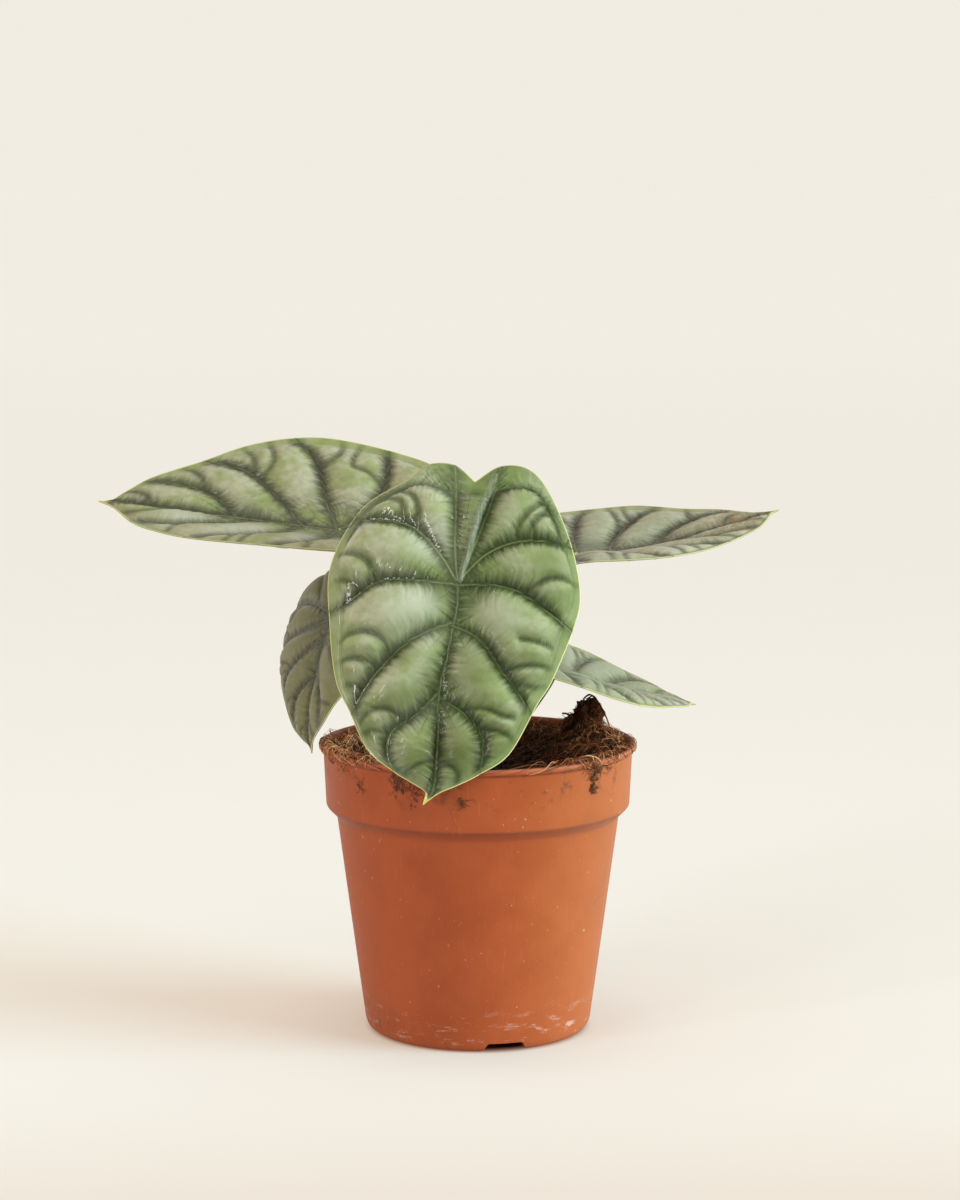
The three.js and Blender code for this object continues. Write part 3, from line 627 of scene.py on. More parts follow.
def grid_triangles(first, wide, rows, flip):
    """Triangles of a grid of points, which are numbered along the rows first."""
    low = first + np.arange(wide)[:, None] * (rows + 1) + np.arange(rows)[None]
    a, b, c, d = low, low + 1, low + rows + 2, low + rows + 1
    return triples(a, c, b, a, d, c) if flip else triples(a, b, c, a, c, d)


def blade_triangles(wide, rows, count):
    """Both faces of both halves, and the strips along the margins. count is the points of one face."""
    half = count // 2
    triangles = [
        grid_triangles(0, wide, rows, False),
        grid_triangles(half, wide, rows, True),
        grid_triangles(count, wide, rows, True),
        grid_triangles(count + half, wide, rows, False),
    ]
    for first in (0, half):
        edge = first + np.arange(wide) * (rows + 1) + rows
        after = edge + rows + 1
        under, under_after = edge + count, after + count
        strip = (under, under_after, edge, under_after, after)
        if first:
            strip = (under_after, under, edge, after, under_after)
        triangles.append(triples(edge, *strip))
    return np.concatenate(triangles)


def pattern_grid(pattern, grid):
    """The flat points of a pattern's mesh and their fields."""
    halves = [half_grid(pattern, half, grid) for half in ("left", "right")]
    flat = np.concatenate([flat for flat, _ in halves])
    return flat, leaf_fields(pattern, flat, np.concatenate([inside for _, inside in halves]))


def build_blade(name, leaf, flat, field, material):
    per_rib, quilt_rows, band_rows = leaf["grid"]
    fold = folds(field, leaf["seed"])
    upper, under = relief(leaf, field, fold)
    points = np.concatenate([lay(leaf, flat, upper), lay(leaf, flat, under)])
    wide = per_rib * len(leaf["pattern"]["left"])
    first, triangles = merged(points, blade_triangles(wide, quilt_rows + band_rows, len(flat)))
    x, y, size = leaf["wear"]
    worn = np.exp(-(((flat - (x, y)) / (size or 1)) ** 2).sum(axis=1)) * (size > 0)
    tip = np.linalg.norm(flat - leaf["pattern"]["tip"], axis=1)
    shifted = flat[:, 0] + 200 * leaf["seed"]
    faces = [columns(shifted, flat[:, 1], np.full(len(flat), below)) for below in (0.0, 1.0)]
    both = {
        "veins": columns(field["vein"], field["branch"], field["along"]),
        "cells": columns(field["pillow"], fold, field["near"]),
        "rims": columns(field["edge"], field["inside"], tip),
        "marks": columns(worn, field["stripe"], field["lobe"]),
        "sides": columns(flat[:, 0], flat[:, 1], flat[:, 0]),
    }
    fields = {key: np.concatenate([values, values])[first] for key, values in both.items()}
    fields["flat"] = np.concatenate(faces)[first]
    piece = new_object(f"leaf_{name}", points[first], triangles, material, fields)
    stands_for(piece, "front_leaf" if name == "front" else "side_leaf", f"blade_{name}")


def build_stalk(name, leaf, material):
    foot = (STEM_AT[0], STEM_AT[1], leaf["stalk"][0][2] - 6)
    path = smooth_path((foot, *leaf["stalk"], leaf["at"]), STALK_STEPS)
    share = np.linspace(0, 1, STALK_STEPS + 1)
    radius = 2.6 - 1.1 * share + 1.6 * np.exp(-share / 0.06)
    points, triangles = tubes([path], [radius], STALK_SIDES)
    fields = {"height": np.repeat(share, STALK_SIDES)}
    stands_for(new_object(f"stalk_{name}", points, triangles, material, fields), "stem", f"petiole_{name}")


def build_stem(material):
    profile = [(0, 86), (5, 86), (7.2, 92), (7.4, 98), (6.8, 103), (5.6, 108.5), (3.5, 112), (0, 113)]
    points, triangles = turned(smooth_path(profile, 40), 48)
    turn = np.arctan2(points[:, 1], points[:, 0])
    swell = 1 + 0.06 * np.sin(5 * turn + points[:, 2] * 0.3) + 0.02 * np.sin(points[:, 2] * 2.4)
    points[:, :2] = points[:, :2] * swell[:, None] + STEM_AT
    height = np.clip((points[:, 2] - 96) / 60, 0, 1)
    stands_for(new_object("stem", points, triangles, material, {"height": height}), "stem", "stem_base")


# Pot


def body_radius(z):
    """The outer radius of the tapered wall below the shoulder."""
    share = (z - CORNER_Z) / (BAND_LOW_Z - SHOULDER - CORNER_Z)
    return BODY_LOW_R + (BODY_TOP_R - BODY_LOW_R) * share


def rounded(profile, steps=4):
    """A profile of (radius, height, rounding) with its corners rounded."""
    line = []
    corners = [np.array(corner[:2], float) for corner in profile]
    for number, corner in enumerate(corners):
        rounding = profile[number][2]
        if not rounding:
            line.append(corner)
            continue
        before = corners[number - 1] - corner
        after = corners[(number + 1) % len(corners)] - corner
        start = corner + before / np.linalg.norm(before) * min(rounding, np.linalg.norm(before) / 2)
        end = corner + after / np.linalg.norm(after) * min(rounding, np.linalg.norm(after) / 2)
        for share in np.linspace(0, 1, steps + 1):
            line.append((1 - share) ** 2 * start + 2 * share * (1 - share) * corner + share**2 * end)
    return line


def pot_profile():
    """The section of the pot: out along the foot, up the outside, over the lip and down the inside."""
    floor = CHANNEL_H + WALL
    shoulder = BAND_LOW_Z - SHOULDER
    return rounded([
        (0, 0, 0),
        (MIDDLE_R, 0, 0.5),
        (MIDDLE_R + 1, CHANNEL_H, 0.5),
        (RING_IN_R - 1, CHANNEL_H, 0.5),
        (RING_IN_R, 0, 0.4),
        (FOOT_R, 0, 1.6),
        (BODY_LOW_R - 0.4, 2.2, 2),
        (body_radius(30), 30, 0),
        (body_radius(56), 56, 0),
        (BODY_TOP_R, shoulder, 0.9),
        (BAND_LOW_R, BAND_LOW_Z, 0.9),
        (BAND_TOP_R, POT_H - LIP_H, 0.4),
        (RIM_R, POT_H - LIP_H + 0.3, 0.5),
        (RIM_R, POT_H, 0.8),
        (RIM_R - 2, POT_H, 0.8),
        (BAND_TOP_R - WALL, POT_H - LIP_H, 0.6),
        (BAND_LOW_R - WALL, BAND_LOW_Z + 0.6, 0.6),
        (BODY_TOP_R - WALL, shoulder + 0.6, 0.6),
        (body_radius(floor + 2) - WALL, floor + 2, 0),
        (body_radius(floor) - WALL - 2, floor, 0),
        (0, floor, 0),
    ])


def prism(outline, low, high):
    """Points and triangles of an outline in X and Z, drawn out along -Y from low to high."""
    outline = np.asarray(outline, float)
    count = len(outline)
    near = columns(outline[:, 0], np.full(count, -low), outline[:, 1])
    far = near * (1, 0, 1) + (0, -high, 0)
    i = np.arange(count)
    after = (i + 1) % count
    fan = np.arange(1, count - 1)
    sides = triples(i, after, after + count, i, after + count, i + count)
    start = columns(0 * fan, fan + 1, fan)
    end = columns(0 * fan, fan, fan + 1) + count
    return np.concatenate([near, far]), np.concatenate([sides, start, end])


def turned_by(points, turn):
    c, s = math.cos(turn), math.sin(turn)
    return points @ np.array([[c, s, 0], [-s, c, 0], [0, 0, 1]])


def pot_cutters():
    """The notches in the standing ring and the drain holes, as one set of points and triangles."""
    notch = rounded([
        (-NOTCH_LOW_W / 2 - 1, -2, 0), (NOTCH_LOW_W / 2 + 1, -2, 0), (NOTCH_LOW_W / 2, 0.4, 0.8),
        (NOTCH_TOP_W / 2, CHANNEL_H, 0.8), (-NOTCH_TOP_W / 2, CHANNEL_H, 0.8), (-NOTCH_LOW_W / 2, 0.4, 0.8),
    ])
    shapes = []
    for number in range(NOTCHES):
        points, triangles = prism(notch, RING_IN_R - 2, RIM_R)
        turn = math.radians(NOTCH_TURN) + number * 2 * math.pi / NOTCHES
        shapes.append((turned_by(points, turn), triangles))
    for number in range(DRAIN_HOLES):
        points, triangles = turned([(0, 2), (DRAIN_R, 2), (DRAIN_R, 9), (0, 9)], 24)
        points = points + (0, -(MIDDLE_R + RING_IN_R) / 2, 0)
        shapes.append((turned_by(points, (number + 0.5) * 2 * math.pi / DRAIN_HOLES), triangles))
    return joined(shapes)


def apply_modifiers(piece):
    """Keeps the mesh that the modifiers make, and drops them."""
    made = bpy.data.meshes.new_from_object(piece.evaluated_get(bpy.context.evaluated_depsgraph_get()))
    piece.modifiers.clear()
    piece.data = made


def build_pot(material):
    points, triangles = turned(pot_profile(), POT_SIDES)
    pot = new_object("nursery_pot", points, triangles, material)
    cutter = new_object("cutter", *pot_cutters(), material)
    cut = pot.modifiers.new("cut", "BOOLEAN")
    cut.operation = "DIFFERENCE"
    cut.solver = "EXACT"
    cut.object = cutter
    apply_modifiers(pot)
    bpy.data.objects.remove(cutter)
    pot.data.set_sharp_from_angle(angle=math.radians(35))
    stands_for(pot, "pot_plastic", "pot")


# Soil


def lumps(x, y, z, layers):
    """Layers of rough lumps, each (height, size in mm, seed), added up at each point."""
    spots = triples(*np.broadcast_arrays(x, y, z))
    total = 0
    for height, size, seed in layers:
        total = total + height * np.array([noise.noise(Vector(spot)) for spot in spots / size + seed])
    return total


def mat_depth(x, y):
    """How thick the coir lies on the soil."""
    deep = 0
    for mat_x, mat_y, spread, depth in MATS:
        deep = deep + depth * np.exp(-((x - mat_x) ** 2 + (y - mat_y) ** 2) / spread**2)
    return deep


def soil_height(x, y):
    height = SOIL_Z + SOIL_RISE * (np.hypot(x, y) / BAND_LOW_R) ** 3
    for mound_x, mound_y, high, spread in SOIL_MOUNDS:
        height = height + high * np.exp(-((x - mound_x) ** 2 + (y - mound_y) ** 2) / spread**2)
    height = height + 0.45 * mat_depth(x, y)
    return height + 0.8 * np.sin(x * 0.23 + 1) * np.cos(y * 0.19) + 0.5 * np.sin(x * 0.51 - y * 0.43)


def build_soil(material):
    edge = BAND_TOP_R - WALL - 0.5
    rings = np.linspace(edge, 0, SOIL_RINGS)
    gap = WALL + 0.3
    wall = [(0, 5.4), (41, 5.4), (body_radius(8) - gap, 8), (BODY_TOP_R - gap, 83.2), (56, 87.6)]
    points, triangles = turned(wall + [(r, POT_H) for r in rings], SOIL_SIDES)
    top = points[:, 2] > POT_H - 1
    x, y = points[top, 0], points[top, 1]
    points[top, 2] = soil_height(x, y) + lumps(x, y, 0, ((1.3, 6, 3), (0.8, 2.6, 8), (0.45, 1.1, 5)))
    soil = new_object("soil_top", points, triangles, material)
    stands_for(soil, "peat", "soil")


def ball(rings, sides):
    """Points and triangles of a unit ball."""
    turn = np.linspace(0, math.pi, rings)
    return turned(columns(np.sin(turn), -np.cos(turn)), sides)


def build_clump(material):
    shapes = []
    for number, (at, size) in enumerate(CLUMP):
        unit, faces = ball(CLUMP_RINGS, CLUMP_SIDES)
        spread = unit * size + at
        rough = lumps(*spread.T, ((0.34, 4.2, number), (0.26, 1.9, number), (0.12, 0.9, number)))
        shapes.append((unit * size * (1 + rough)[:, None] + at, faces))
    stands_for(new_object("peat_clump", *joined(shapes), material), "peat")


def crumbs(places, sizes, rng):
    """Points and triangles of small rough lumps, each turned its own way."""
    unit, faces = ball(6, 7)
    points = []
    for place, size in zip(places, sizes):
        turn = Vector(rng.normal(0, 1, 3)).to_track_quat("Z", "Y").to_matrix()
        shape = unit * rng.uniform(0.35, 1.5, 3) * (1 + rng.normal(0, 0.2, (len(unit), 1)))
        points.append(shape @ np.array(turn) * size + place)
    first = len(unit) * np.arange(len(places))[:, None, None]
    return np.concatenate(points), (faces[None] + first).reshape(-1, 3)


def build_crumbs(material):
    rng = np.random.default_rng(8)
    places, sizes = [], []
    for _ in range(CRUMBS):
        turn, reach = rng.uniform(0, 2 * math.pi), CRUMB_REACH * math.sqrt(rng.uniform(0.02, 1))
        x, y = reach * math.cos(turn), reach * math.sin(turn)
        size = 0.3 + 1.5 * rng.beta(1.1, 4)
        places.append((x, y, soil_height(x, y) + 0.5 + rng.uniform(0, 0.6) * mat_depth(x, y)))
        sizes.append(size)
    stands_for(new_object("peat_crumbs", *crumbs(places, sizes, rng), material), "peat")


def tapered(radius, points):
    """The radius of a fibre at each of its points, thickest at its start."""
    return radius * np.linspace(1.1, 0.5, points)


def build_strands(name, paths, radii, shades, sides, material):
    """Thin tubes as one piece. Each has one shade, from dark at 0 to pale at 1."""
    points, triangles = tubes(paths, radii, sides)
    shade = np.concatenate([np.full(len(path) * sides, value) for path, value in zip(paths, shades)])
    stands_for(new_object(name, points, triangles, material, {"shade": shade}), "peat")


def wall_point(x, z, off):
    """A point on the outside of the pot's front, off it by a distance."""
    heights = (BAND_LOW_Z, POT_H - LIP_H - 0.4, POT_H - LIP_H)
    around = np.interp(z, heights, (BAND_LOW_R, BAND_TOP_R, RIM_R)) + off
    return np.array((x, -math.sqrt(max(around**2 - x**2, 0)), z)) if abs(x) < around else np.array((x, 0, z))


def build_stuck(coir):
    rng = np.random.default_rng(12)
    places, sizes, paths, radii, shades = [], [], [], [], []
    for x, high, low, width, size, lumps_here, fibres_here, pale in STUCK:
        for _ in range(lumps_here):
            places.append(wall_point(x + width * rng.normal(0, 0.28), rng.uniform(low, high), 0.05))
            sizes.append(size * (0.25 + 0.75 * rng.beta(1.2, 2.2)))
        for _ in range(fibres_here):
            at_x, z, lean = x + width * rng.uniform(-0.5, 0.5), high - (high - low) * rng.uniform(0, 0.4), 0
            path = []
            for _ in range(7):
                path.append(wall_point(at_x, z, 0.14))
                lean += rng.normal(0, 0.22 if pale > 0.5 else 0.9)
                length = 2.0 if pale > 0.5 else 0.8
                at_x, z = at_x + length * math.sin(lean), z - length * math.cos(lean)
            paths.append(smooth_path(path, 14))
            thick = 0.04 + 0.14 * rng.beta(1, 2) * (pale < 0.5)
            radii.append(tapered(thick, len(paths[-1])))
            shades.append(pale * rng.uniform(0.6, 1.05))
    points, triangles = crumbs(places, sizes, rng)
    fields = {"shade": np.full(len(points), 0.14)}
    stands_for(new_object("stuck_peat", points, triangles, coir, fields), "peat")
    build_strands("stuck_coir", paths, radii, shades, 4, coir)


def fibre_path(rng, start, heading, length, curl, rise):
    """A limp fibre that lies on the soil or on the coir under it, with a little arch."""
    steps = 8
    step = length / steps
    x, y = start
    deep = rng.uniform(0, 1)
    path = []
    for number in range(steps + 1):
        lift = rise * math.sin(math.pi * number / steps) + rng.normal(0, 0.15) + 0.6 * deep * mat_depth(x, y)
        path.append((x, y, soil_height(x, y) + 0.7 + lift))
        heading += rng.normal(0, curl)
        x += step * math.cos(heading)
        y += step * math.sin(heading)
        reach = math.hypot(x, y)
        if reach > FIBRE_LIMIT:
            x, y = x * FIBRE_LIMIT / reach, y * FIBRE_LIMIT / reach
            heading += 1.2
    return smooth_path(path, 10)


def rim_path(rng, turn):
    """A fibre that comes out of the coir, lies over the rim and hangs down the outside."""
    turn = math.radians(turn)
    lean = rng.normal(0, 0.25)
    drop = rng.uniform(0, 1) ** 2 * 9
    reaches = (50, 54, 57.5, RIM_R - 0.6, RIM_R + 0.25, RIM_R + 0.2, RIM_R + 0.1)
    heights = (105, 108.6, POT_H + 0.9, POT_H + 0.35, POT_H - 0.4, POT_H - 1.6, POT_H - LIP_H)
    path = []
    for number, (reach, z) in enumerate(zip(reaches, heights)):
        around = turn + lean * number / 6 + rng.normal(0, 0.012)
        if number > 3 and z < POT_H - drop:
            break
        rise = rng.uniform(0, 1.6 if number < 4 else 0.35)
        path.append((reach * math.sin(around), -reach * math.cos(around), z + rise))
    return smooth_path(path, 10)


def build_fibres(material):
    rng = np.random.default_rng(5)
    paths, radii = [], []
    while len(paths) < FIBRES:
        turn, reach = rng.uniform(0, 2 * math.pi), FIBRE_REACH * math.sqrt(rng.uniform(0.03, 1))
        start = (reach * math.cos(turn), reach * math.sin(turn))
        thick = mat_depth(*start)
        if rng.uniform() > 0.12 + 0.12 * (reach / FIBRE_REACH) ** 2 + 0.25 * thick:
            continue
        length, heading, rise = rng.uniform(3, 15), rng.uniform(0, 6.3), rng.uniform(0.2, 1.3 + 0.5 * thick)
        paths.append(fibre_path(rng, start, heading, length, 0.95, rise))
        radii.append(tapered(rng.uniform(0.035, 0.12), len(paths[-1])))
    for turn, spread, number in OVER_RIM:
        for _ in range(number):
            paths.append(rim_path(rng, turn + spread * rng.uniform(-1, 1)))
            radii.append(tapered(rng.uniform(0.06, 0.2), len(paths[-1])))
    golden = [path[0][0] < -20 or math.hypot(*path[0][:2]) > 50 for path in paths]
    shades = [rng.beta(1.3, 1.35 if pale else 3.6) for pale in golden]
    build_strands("coir_fibres", paths, radii, shades, 3, material)


def build_roots(material):
    """The tangle of fine roots in and around the clump."""
    rng = np.random.default_rng(17)
    paths, radii, shades = [], [], []
    for number in range(FINE_ROOTS):
        at, size = CLUMP[number % 3]
        out = rng.normal(0, 1, 3)
        out /= np.linalg.norm(out)
        out[2] = abs(out[2]) if rng.uniform() < 0.7 else out[2]
        spot = np.array(at) + out * size * 0.85
        heading = out + rng.normal(0, 0.6, 3)
        path = [spot]
        for _ in range(6):
            heading = heading + rng.normal(0, 0.55, 3) - (0, 0, 0.12)
            heading /= np.linalg.norm(heading)
            spot = spot + heading * rng.uniform(0.3, 0.85)
            spot[2] = max(spot[2], soil_height(spot[0], spot[1]) + 0.3)
            path.append(spot)
        paths.append(smooth_path(path, 10))
        radii.append(rng.uniform(0.06, 0.22) * np.linspace(1.2, 0.5, 11))
        shades.append(0.14 + 0.55 * rng.beta(1.2, 1.8))
    for radius, points in ROOTS:
        paths.append(smooth_path(points, 24))
        radii.append(radius * np.linspace(1.2, 0.6, 25) * (1 + 0.2 * rng.uniform(-1, 1, 25)))
        shades.append(0.16)
    build_strands("clump_roots", paths, radii, shades, 3, material)


# Materials


class Value:
    """What a node gives. Sums and products of values make further nodes."""

    def __init__(self, nodes, socket):
        self.nodes = nodes
        self.socket = socket

    def __add__(self, other):
        return self.nodes.calc("ADD", self, other)

    def __sub__(self, other):
        return self.nodes.calc("SUBTRACT", self, other)

    def __rsub__(self, other):
        return self.nodes.calc("SUBTRACT", other, self)

    def __mul__(self, other):
        return self.nodes.calc("MULTIPLY", self, other)

    def __rmul__(self, other):
        return self.nodes.calc("MULTIPLY", other, self)

    def step(self, low, high, top=1, bottom=0):
        """Goes smoothly from bottom, where this is low, to top, where it is high."""
        sockets = {"Value": self, "From Min": low, "From Max": high, "To Min": bottom, "To Max": top}
        return self.nodes.node("MapRange", sockets, interpolation_type="SMOOTHSTEP")


class Nodes:
    """Builds the nodes of one tree."""

    def __init__(self, tree):
        self.tree = tree

    def put(self, node, socket, value):
        """Links a socket to a value, or sets a number or colour on it."""
        target = node.inputs[socket]
        if isinstance(value, Value):
            self.tree.links.new(value.socket, target)
        elif target.type == "RGBA":
            target.default_value = (*value, 1)
        else:
            target.default_value = value

    def node(self, kind, sockets, output=0, **settings):
        node = self.tree.nodes.new(f"ShaderNode{kind}")
        for key, value in settings.items():
            setattr(node, key, value)
        for socket, value in sockets.items():
            self.put(node, socket, value)
        return Value(self, node.outputs[output]) if node.outputs else None

    def calc(self, operation, a, b, clamp=False):
        return self.node("Math", {0: a, 1: b}, operation=operation, use_clamp=clamp)

    def mix(self, share, a, b, blend="MIX"):
        return self.node("Mix", {0: share, 6: a, 7: b}, output=2, data_type="RGBA", blend_type=blend)

    def noise(self, where, scale, detail=3, roughness=0.55):
        sockets = {"Vector": where, "Scale": scale, "Detail": detail, "Roughness": roughness}
        return self.node("TexNoise", sockets)

    def parts(self, vector):
        node = self.tree.nodes.new("ShaderNodeSeparateXYZ")
        self.put(node, 0, vector)
        return [Value(self, output) for output in node.outputs]

    def field(self, name):
        return self.node("Attribute", {}, output=1, attribute_name=name)

    def vector(self, x, y, z):
        return self.node("CombineXYZ", {0: x, 1: y, 2: z})

    def scaled(self, vector, scale):
        return self.node("Mapping", {"Vector": vector, "Scale": scale})

    def reach(self, operation, *vectors):
        return self.node("VectorMath", dict(enumerate(vectors)), output=1, operation=operation)

    def place(self):
        return self.node("TexCoord", {}, output=3)

    def patches(self, where, spots):
        """How far a point lies inside any of some round patches: (x, y, reach)."""
        share = 0
        for x, y, reach in spots:
            away = self.reach("DISTANCE", where, (x, y, 0))
            share = self.calc("MAXIMUM", share, away.step(reach, 0.2 * reach))
        return share

    def bump(self, height, distance, strength=1, **under):
        return self.node("Bump", {"Height": height, "Distance": distance, "Strength": strength, **under})


class Look(Nodes):
    """One procedural material: a shader, and the colour that is painted on it layer by layer."""

    def __init__(self, name, **sockets):
        self.material = bpy.data.materials.new(name)
        self.material.use_nodes = True
        super().__init__(self.material.node_tree)
        self.tree.nodes.clear()
        self.colour = None
        self.shader = self.tree.nodes.new("ShaderNodeBsdfPrincipled")
        self.node("OutputMaterial", {0: Value(self, self.shader.outputs[0])})
        self.dress(**sockets)

    def dress(self, **sockets):
        """Links or sets sockets of the shader, whose names are written with _ for a space."""
        for socket, value in sockets.items():
            self.put(self.shader, socket.replace("_", " "), value)

    def finished(self, **sockets):
        self.dress(Base_Color=self.colour, **sockets)
        return self.material

    def paint(self, share, colour):
        """Lays a colour over the one so far, by a share."""
        self.colour = self.mix(share, self.colour, colour)

    def tint(self, share, factors):
        """Multiplies the colour so far by factors, by a share."""
        self.paint(share, self.mix(1, self.colour, factors, "MULTIPLY"))


def leaf_look(name, pale, green, flank, dark, margin, under, gloss, patchy, shaded=0, silver=(), deep=()):
    """A waxy leaf: silvery on the quilting, darker and finely folded down to the veins."""
    look = Look(f"{name}_leaf", Coat_Roughness=0.12, Specular_IOR_Level=0.3)
    vein, branch, along = look.parts(look.field("veins"))
    pillow, fold, near = look.parts(look.field("cells"))
    edge, inside, tip = look.parts(look.field("rims"))
    worn, stripe, lobe = look.parts(look.field("marks"))
    across, ahead, _ = look.parts(look.field("sides"))
    where = look.vector(across, ahead, 0)
    flat = look.field("flat")
    below = look.parts(flat)[2]
    patch = look.noise(flat, 0.09, 2)
    cloud = look.noise(flat, 0.35, 4, 0.6)
    grain = look.noise(flat, 1.6, 4, 0.65)
    streak = look.noise(look.vector(along * 0.8, near * 0.07, patch), 1, 4, 0.6)
    wander = streak + fold * 0.35 - 0.75

    # From the middle of each quilted cell down to the folds along its veins.
    rise = pillow * branch.step(0, 4.5, 1, 0.35) + wander * 0.55 - lobe * inside.step(6, 0, 0.48)
    look.colour = look.mix(rise.step(0, 0.58), flank, pale)
    look.paint(patch.step(0.42, 0.62, patchy), green)
    look.paint((near + wander * 1.6).step(4.2, 0.2, 0.85), dark)
    # Darker gaps between the fine folds beside the veins: painted shade.
    look.paint(fold.step(0.5, 0.15) * near.step(8, 1, 0.24), dark)
    # Paler crests of the fine folds beside the veins: painted glints.
    look.paint(fold.step(0.72, 1) * near.step(7, 2, 0.24) * near.step(0.5, 1.4), pale)
    look.paint(vein.step(0.9, 0.2, 0.6), flank)
    look.paint(branch.step(1.8, 0.1, 0.5), dark)
    # A thin pale line along each vein: a painted highlight on its raised cord.
    look.paint(vein.step(0.42, 0.15, 0.3 + 0.4 * shaded), (0.27, 0.35, 0.13))
    look.paint(cloud.step(0.35, 0.7, 0.25), flank)

    # Paler patches, which are painted sheen, greener patches, and painted shade and light.
    # The paler silvery patches are painted sheen.
    look.paint(look.patches(where, silver) * near.step(1, 5, 0.5, 0.1), (0.5, 0.5, 0.4))
    look.tint(look.patches(where, deep) * cloud.step(0.2, 0.7, 0.4, 0.65), (0.42, 0.48, 0.2))
    # Painted shade: darker on the right half and in the lower middle, towards the tip.
    low = ahead.step(36, 58) * across.step(-16, -3, 1.1 * shaded) * ahead.step(80, 66, 1, 0.2)
    look.tint(look.calc("MAXIMUM", across.step(-14, 18, 0.72 * shaded), low), (0.54, 0.58, 0.36))
    # Painted shade where the surface faces down, and painted light where it faces up.
    rising = look.parts(look.node("NewGeometry", {}, output=1))[2]
    look.tint(rising.step(0.5, 0, shaded), (0.4, 0.46, 0.3))
    look.tint(rising.step(0.35, 0.8, 0.5 * shaded), (1.4, 1.35, 1.55))

    # The silver stripe, paler along its threads, partly its silvery colour and partly a painted highlight;
    # then the margin, wear, spots, the yellow edge and tip, and the underside.
    thread = look.noise(look.scaled(flat, (2.2, 0.12, 1)), 1)
    look.paint(stripe.step(1.6, 0.7) * thread.step(0.35, 0.6, 1, 0.35) * 0.6, (0.34, 0.38, 0.28))
    look.paint(inside.step(0.6, -0.5) * (0.5 - lobe * 0.25), margin)
    brown = look.calc("MULTIPLY", worn, cloud.step(0.4, 0.6), clamp=True)
    look.paint(brown * 0.9, look.mix(grain, (0.16, 0.09, 0.04), (0.42, 0.3, 0.15)))
    spots = look.noise(flat, 0.9, 2)
    look.paint(spots.step(0.7, 0.76) * 0.5 * tip.step(34, 8), dark)
    look.paint(edge.step(0.45, 0.2), (0.58, 0.54, 0.22))
    look.paint(tip.step(4.5, 1.5), (0.56, 0.5, 0.12))
    look.paint(below, under)
    return look.finished(
        Coat_Weight=near.step(8, 3, gloss, 0.15 * gloss) * (1 - across.step(-3, 4, 1.25 * shaded)),
        Roughness=grain.step(0.3, 0.8, 0.55, 0.42),
        Normal=look.bump(grain, 0.0001, Normal=look.bump(streak * near.step(9, 0.5), 0.0007)),
    )


def stem_look():
    look = Look("leaf_stalk", Roughness=0.45)
    height = look.parts(look.field("height"))[0]
    patch = look.noise(look.place(), 260, 4)
    look.colour = look.mix(height.step(0, 0.5), (0.16, 0.09, 0.035), (0.22, 0.25, 0.06))
    look.paint(height.step(0.6, 1), (0.42, 0.42, 0.12))
    look.paint(patch.step(0.5, 0.75, 0.6), (0.12, 0.1, 0.03))
    return look.finished(Normal=look.bump(patch, 0.0002))


def pot_look():
    """Terracotta-coloured plastic: scuffed, speckled with lime and dirty under the rim, with painted light on
    its right and on the top of its lip.
    """
    look = Look("pot_plastic", Specular_IOR_Level=0.22)
    place = look.place()
    x, y, z = look.parts(place)
    mottle = look.noise(place, 45, 5, 0.6)
    fine = look.noise(place, 900)
    speckle = look.noise(place, 520, 2, 0.5)
    lime = look.noise(place, 150, 6, 0.7)
    layered = look.noise(look.scaled(place, (0.7, 0.7, 2.6)), 150, 6, 0.75)
    scratch = look.noise(look.scaled(place, (1, 1, 0.12)), 800)

    # The plastic, paler on the right with painted light and sheen from that side, with scratches and specks.
    look.colour = look.mix(mottle.step(0.3, 0.7), (0.325, 0.064, 0.0165), (0.372, 0.078, 0.0225))
    look.tint(x.step(0.005, 0.056), (1.07, 1.43, 1.5))
    look.paint(scratch.step(0.6, 0.78, 0.14), (0.56, 0.22, 0.12))
    look.paint(speckle.step(0.71, 0.77, 0.36), (0.72, 0.46, 0.32))

    # Dirt on the band, the groove under the lip darker, and a painted highlight along the top of the lip.
    look.paint(z.step(0.088, 0.108) * lime.step(0.55, 0.68) * 0.75, (0.09, 0.03, 0.014))
    groove = z.step(0.1066, 0.1073) * z.step(0.1083, 0.1076)
    look.paint(groove * lime.step(0.3, 0.6, 0.7, 0.3), (0.16, 0.035, 0.014))
    # Painted highlight along the top of the lip.
    look.paint(z.step(0.1086, 0.1096, 0.3), (0.62, 0.25, 0.16))

    # Streaks of lime and dark scuffs by the foot, and the inner wall darker near the top.
    foot = z.step(0.02, 0.006) * z.step(0.001, 0.005)
    look.paint(foot * layered.step(0.54, 0.68) * 0.4, (0.75, 0.62, 0.52))
    scuff = x.step(-0.018, -0.034) * scratch.step(0.5, 0.62)
    look.paint(foot * scuff * 0.7, (0.16, 0.06, 0.03))
    within = look.reach("LENGTH", look.vector(x, y, 0)).step(0.0577, 0.0569) * z.step(0.08, 0.09)
    look.paint(within * lime.step(0.3, 0.6, 0.95, 0.6), (0.13, 0.035, 0.02))
    return look.finished(
        Roughness=mottle.step(0.3, 0.7, 0.58, 0.44),
        Normal=look.bump(fine, 0.00006, Normal=look.bump(mottle, 0.0004, 0.6)),
    )


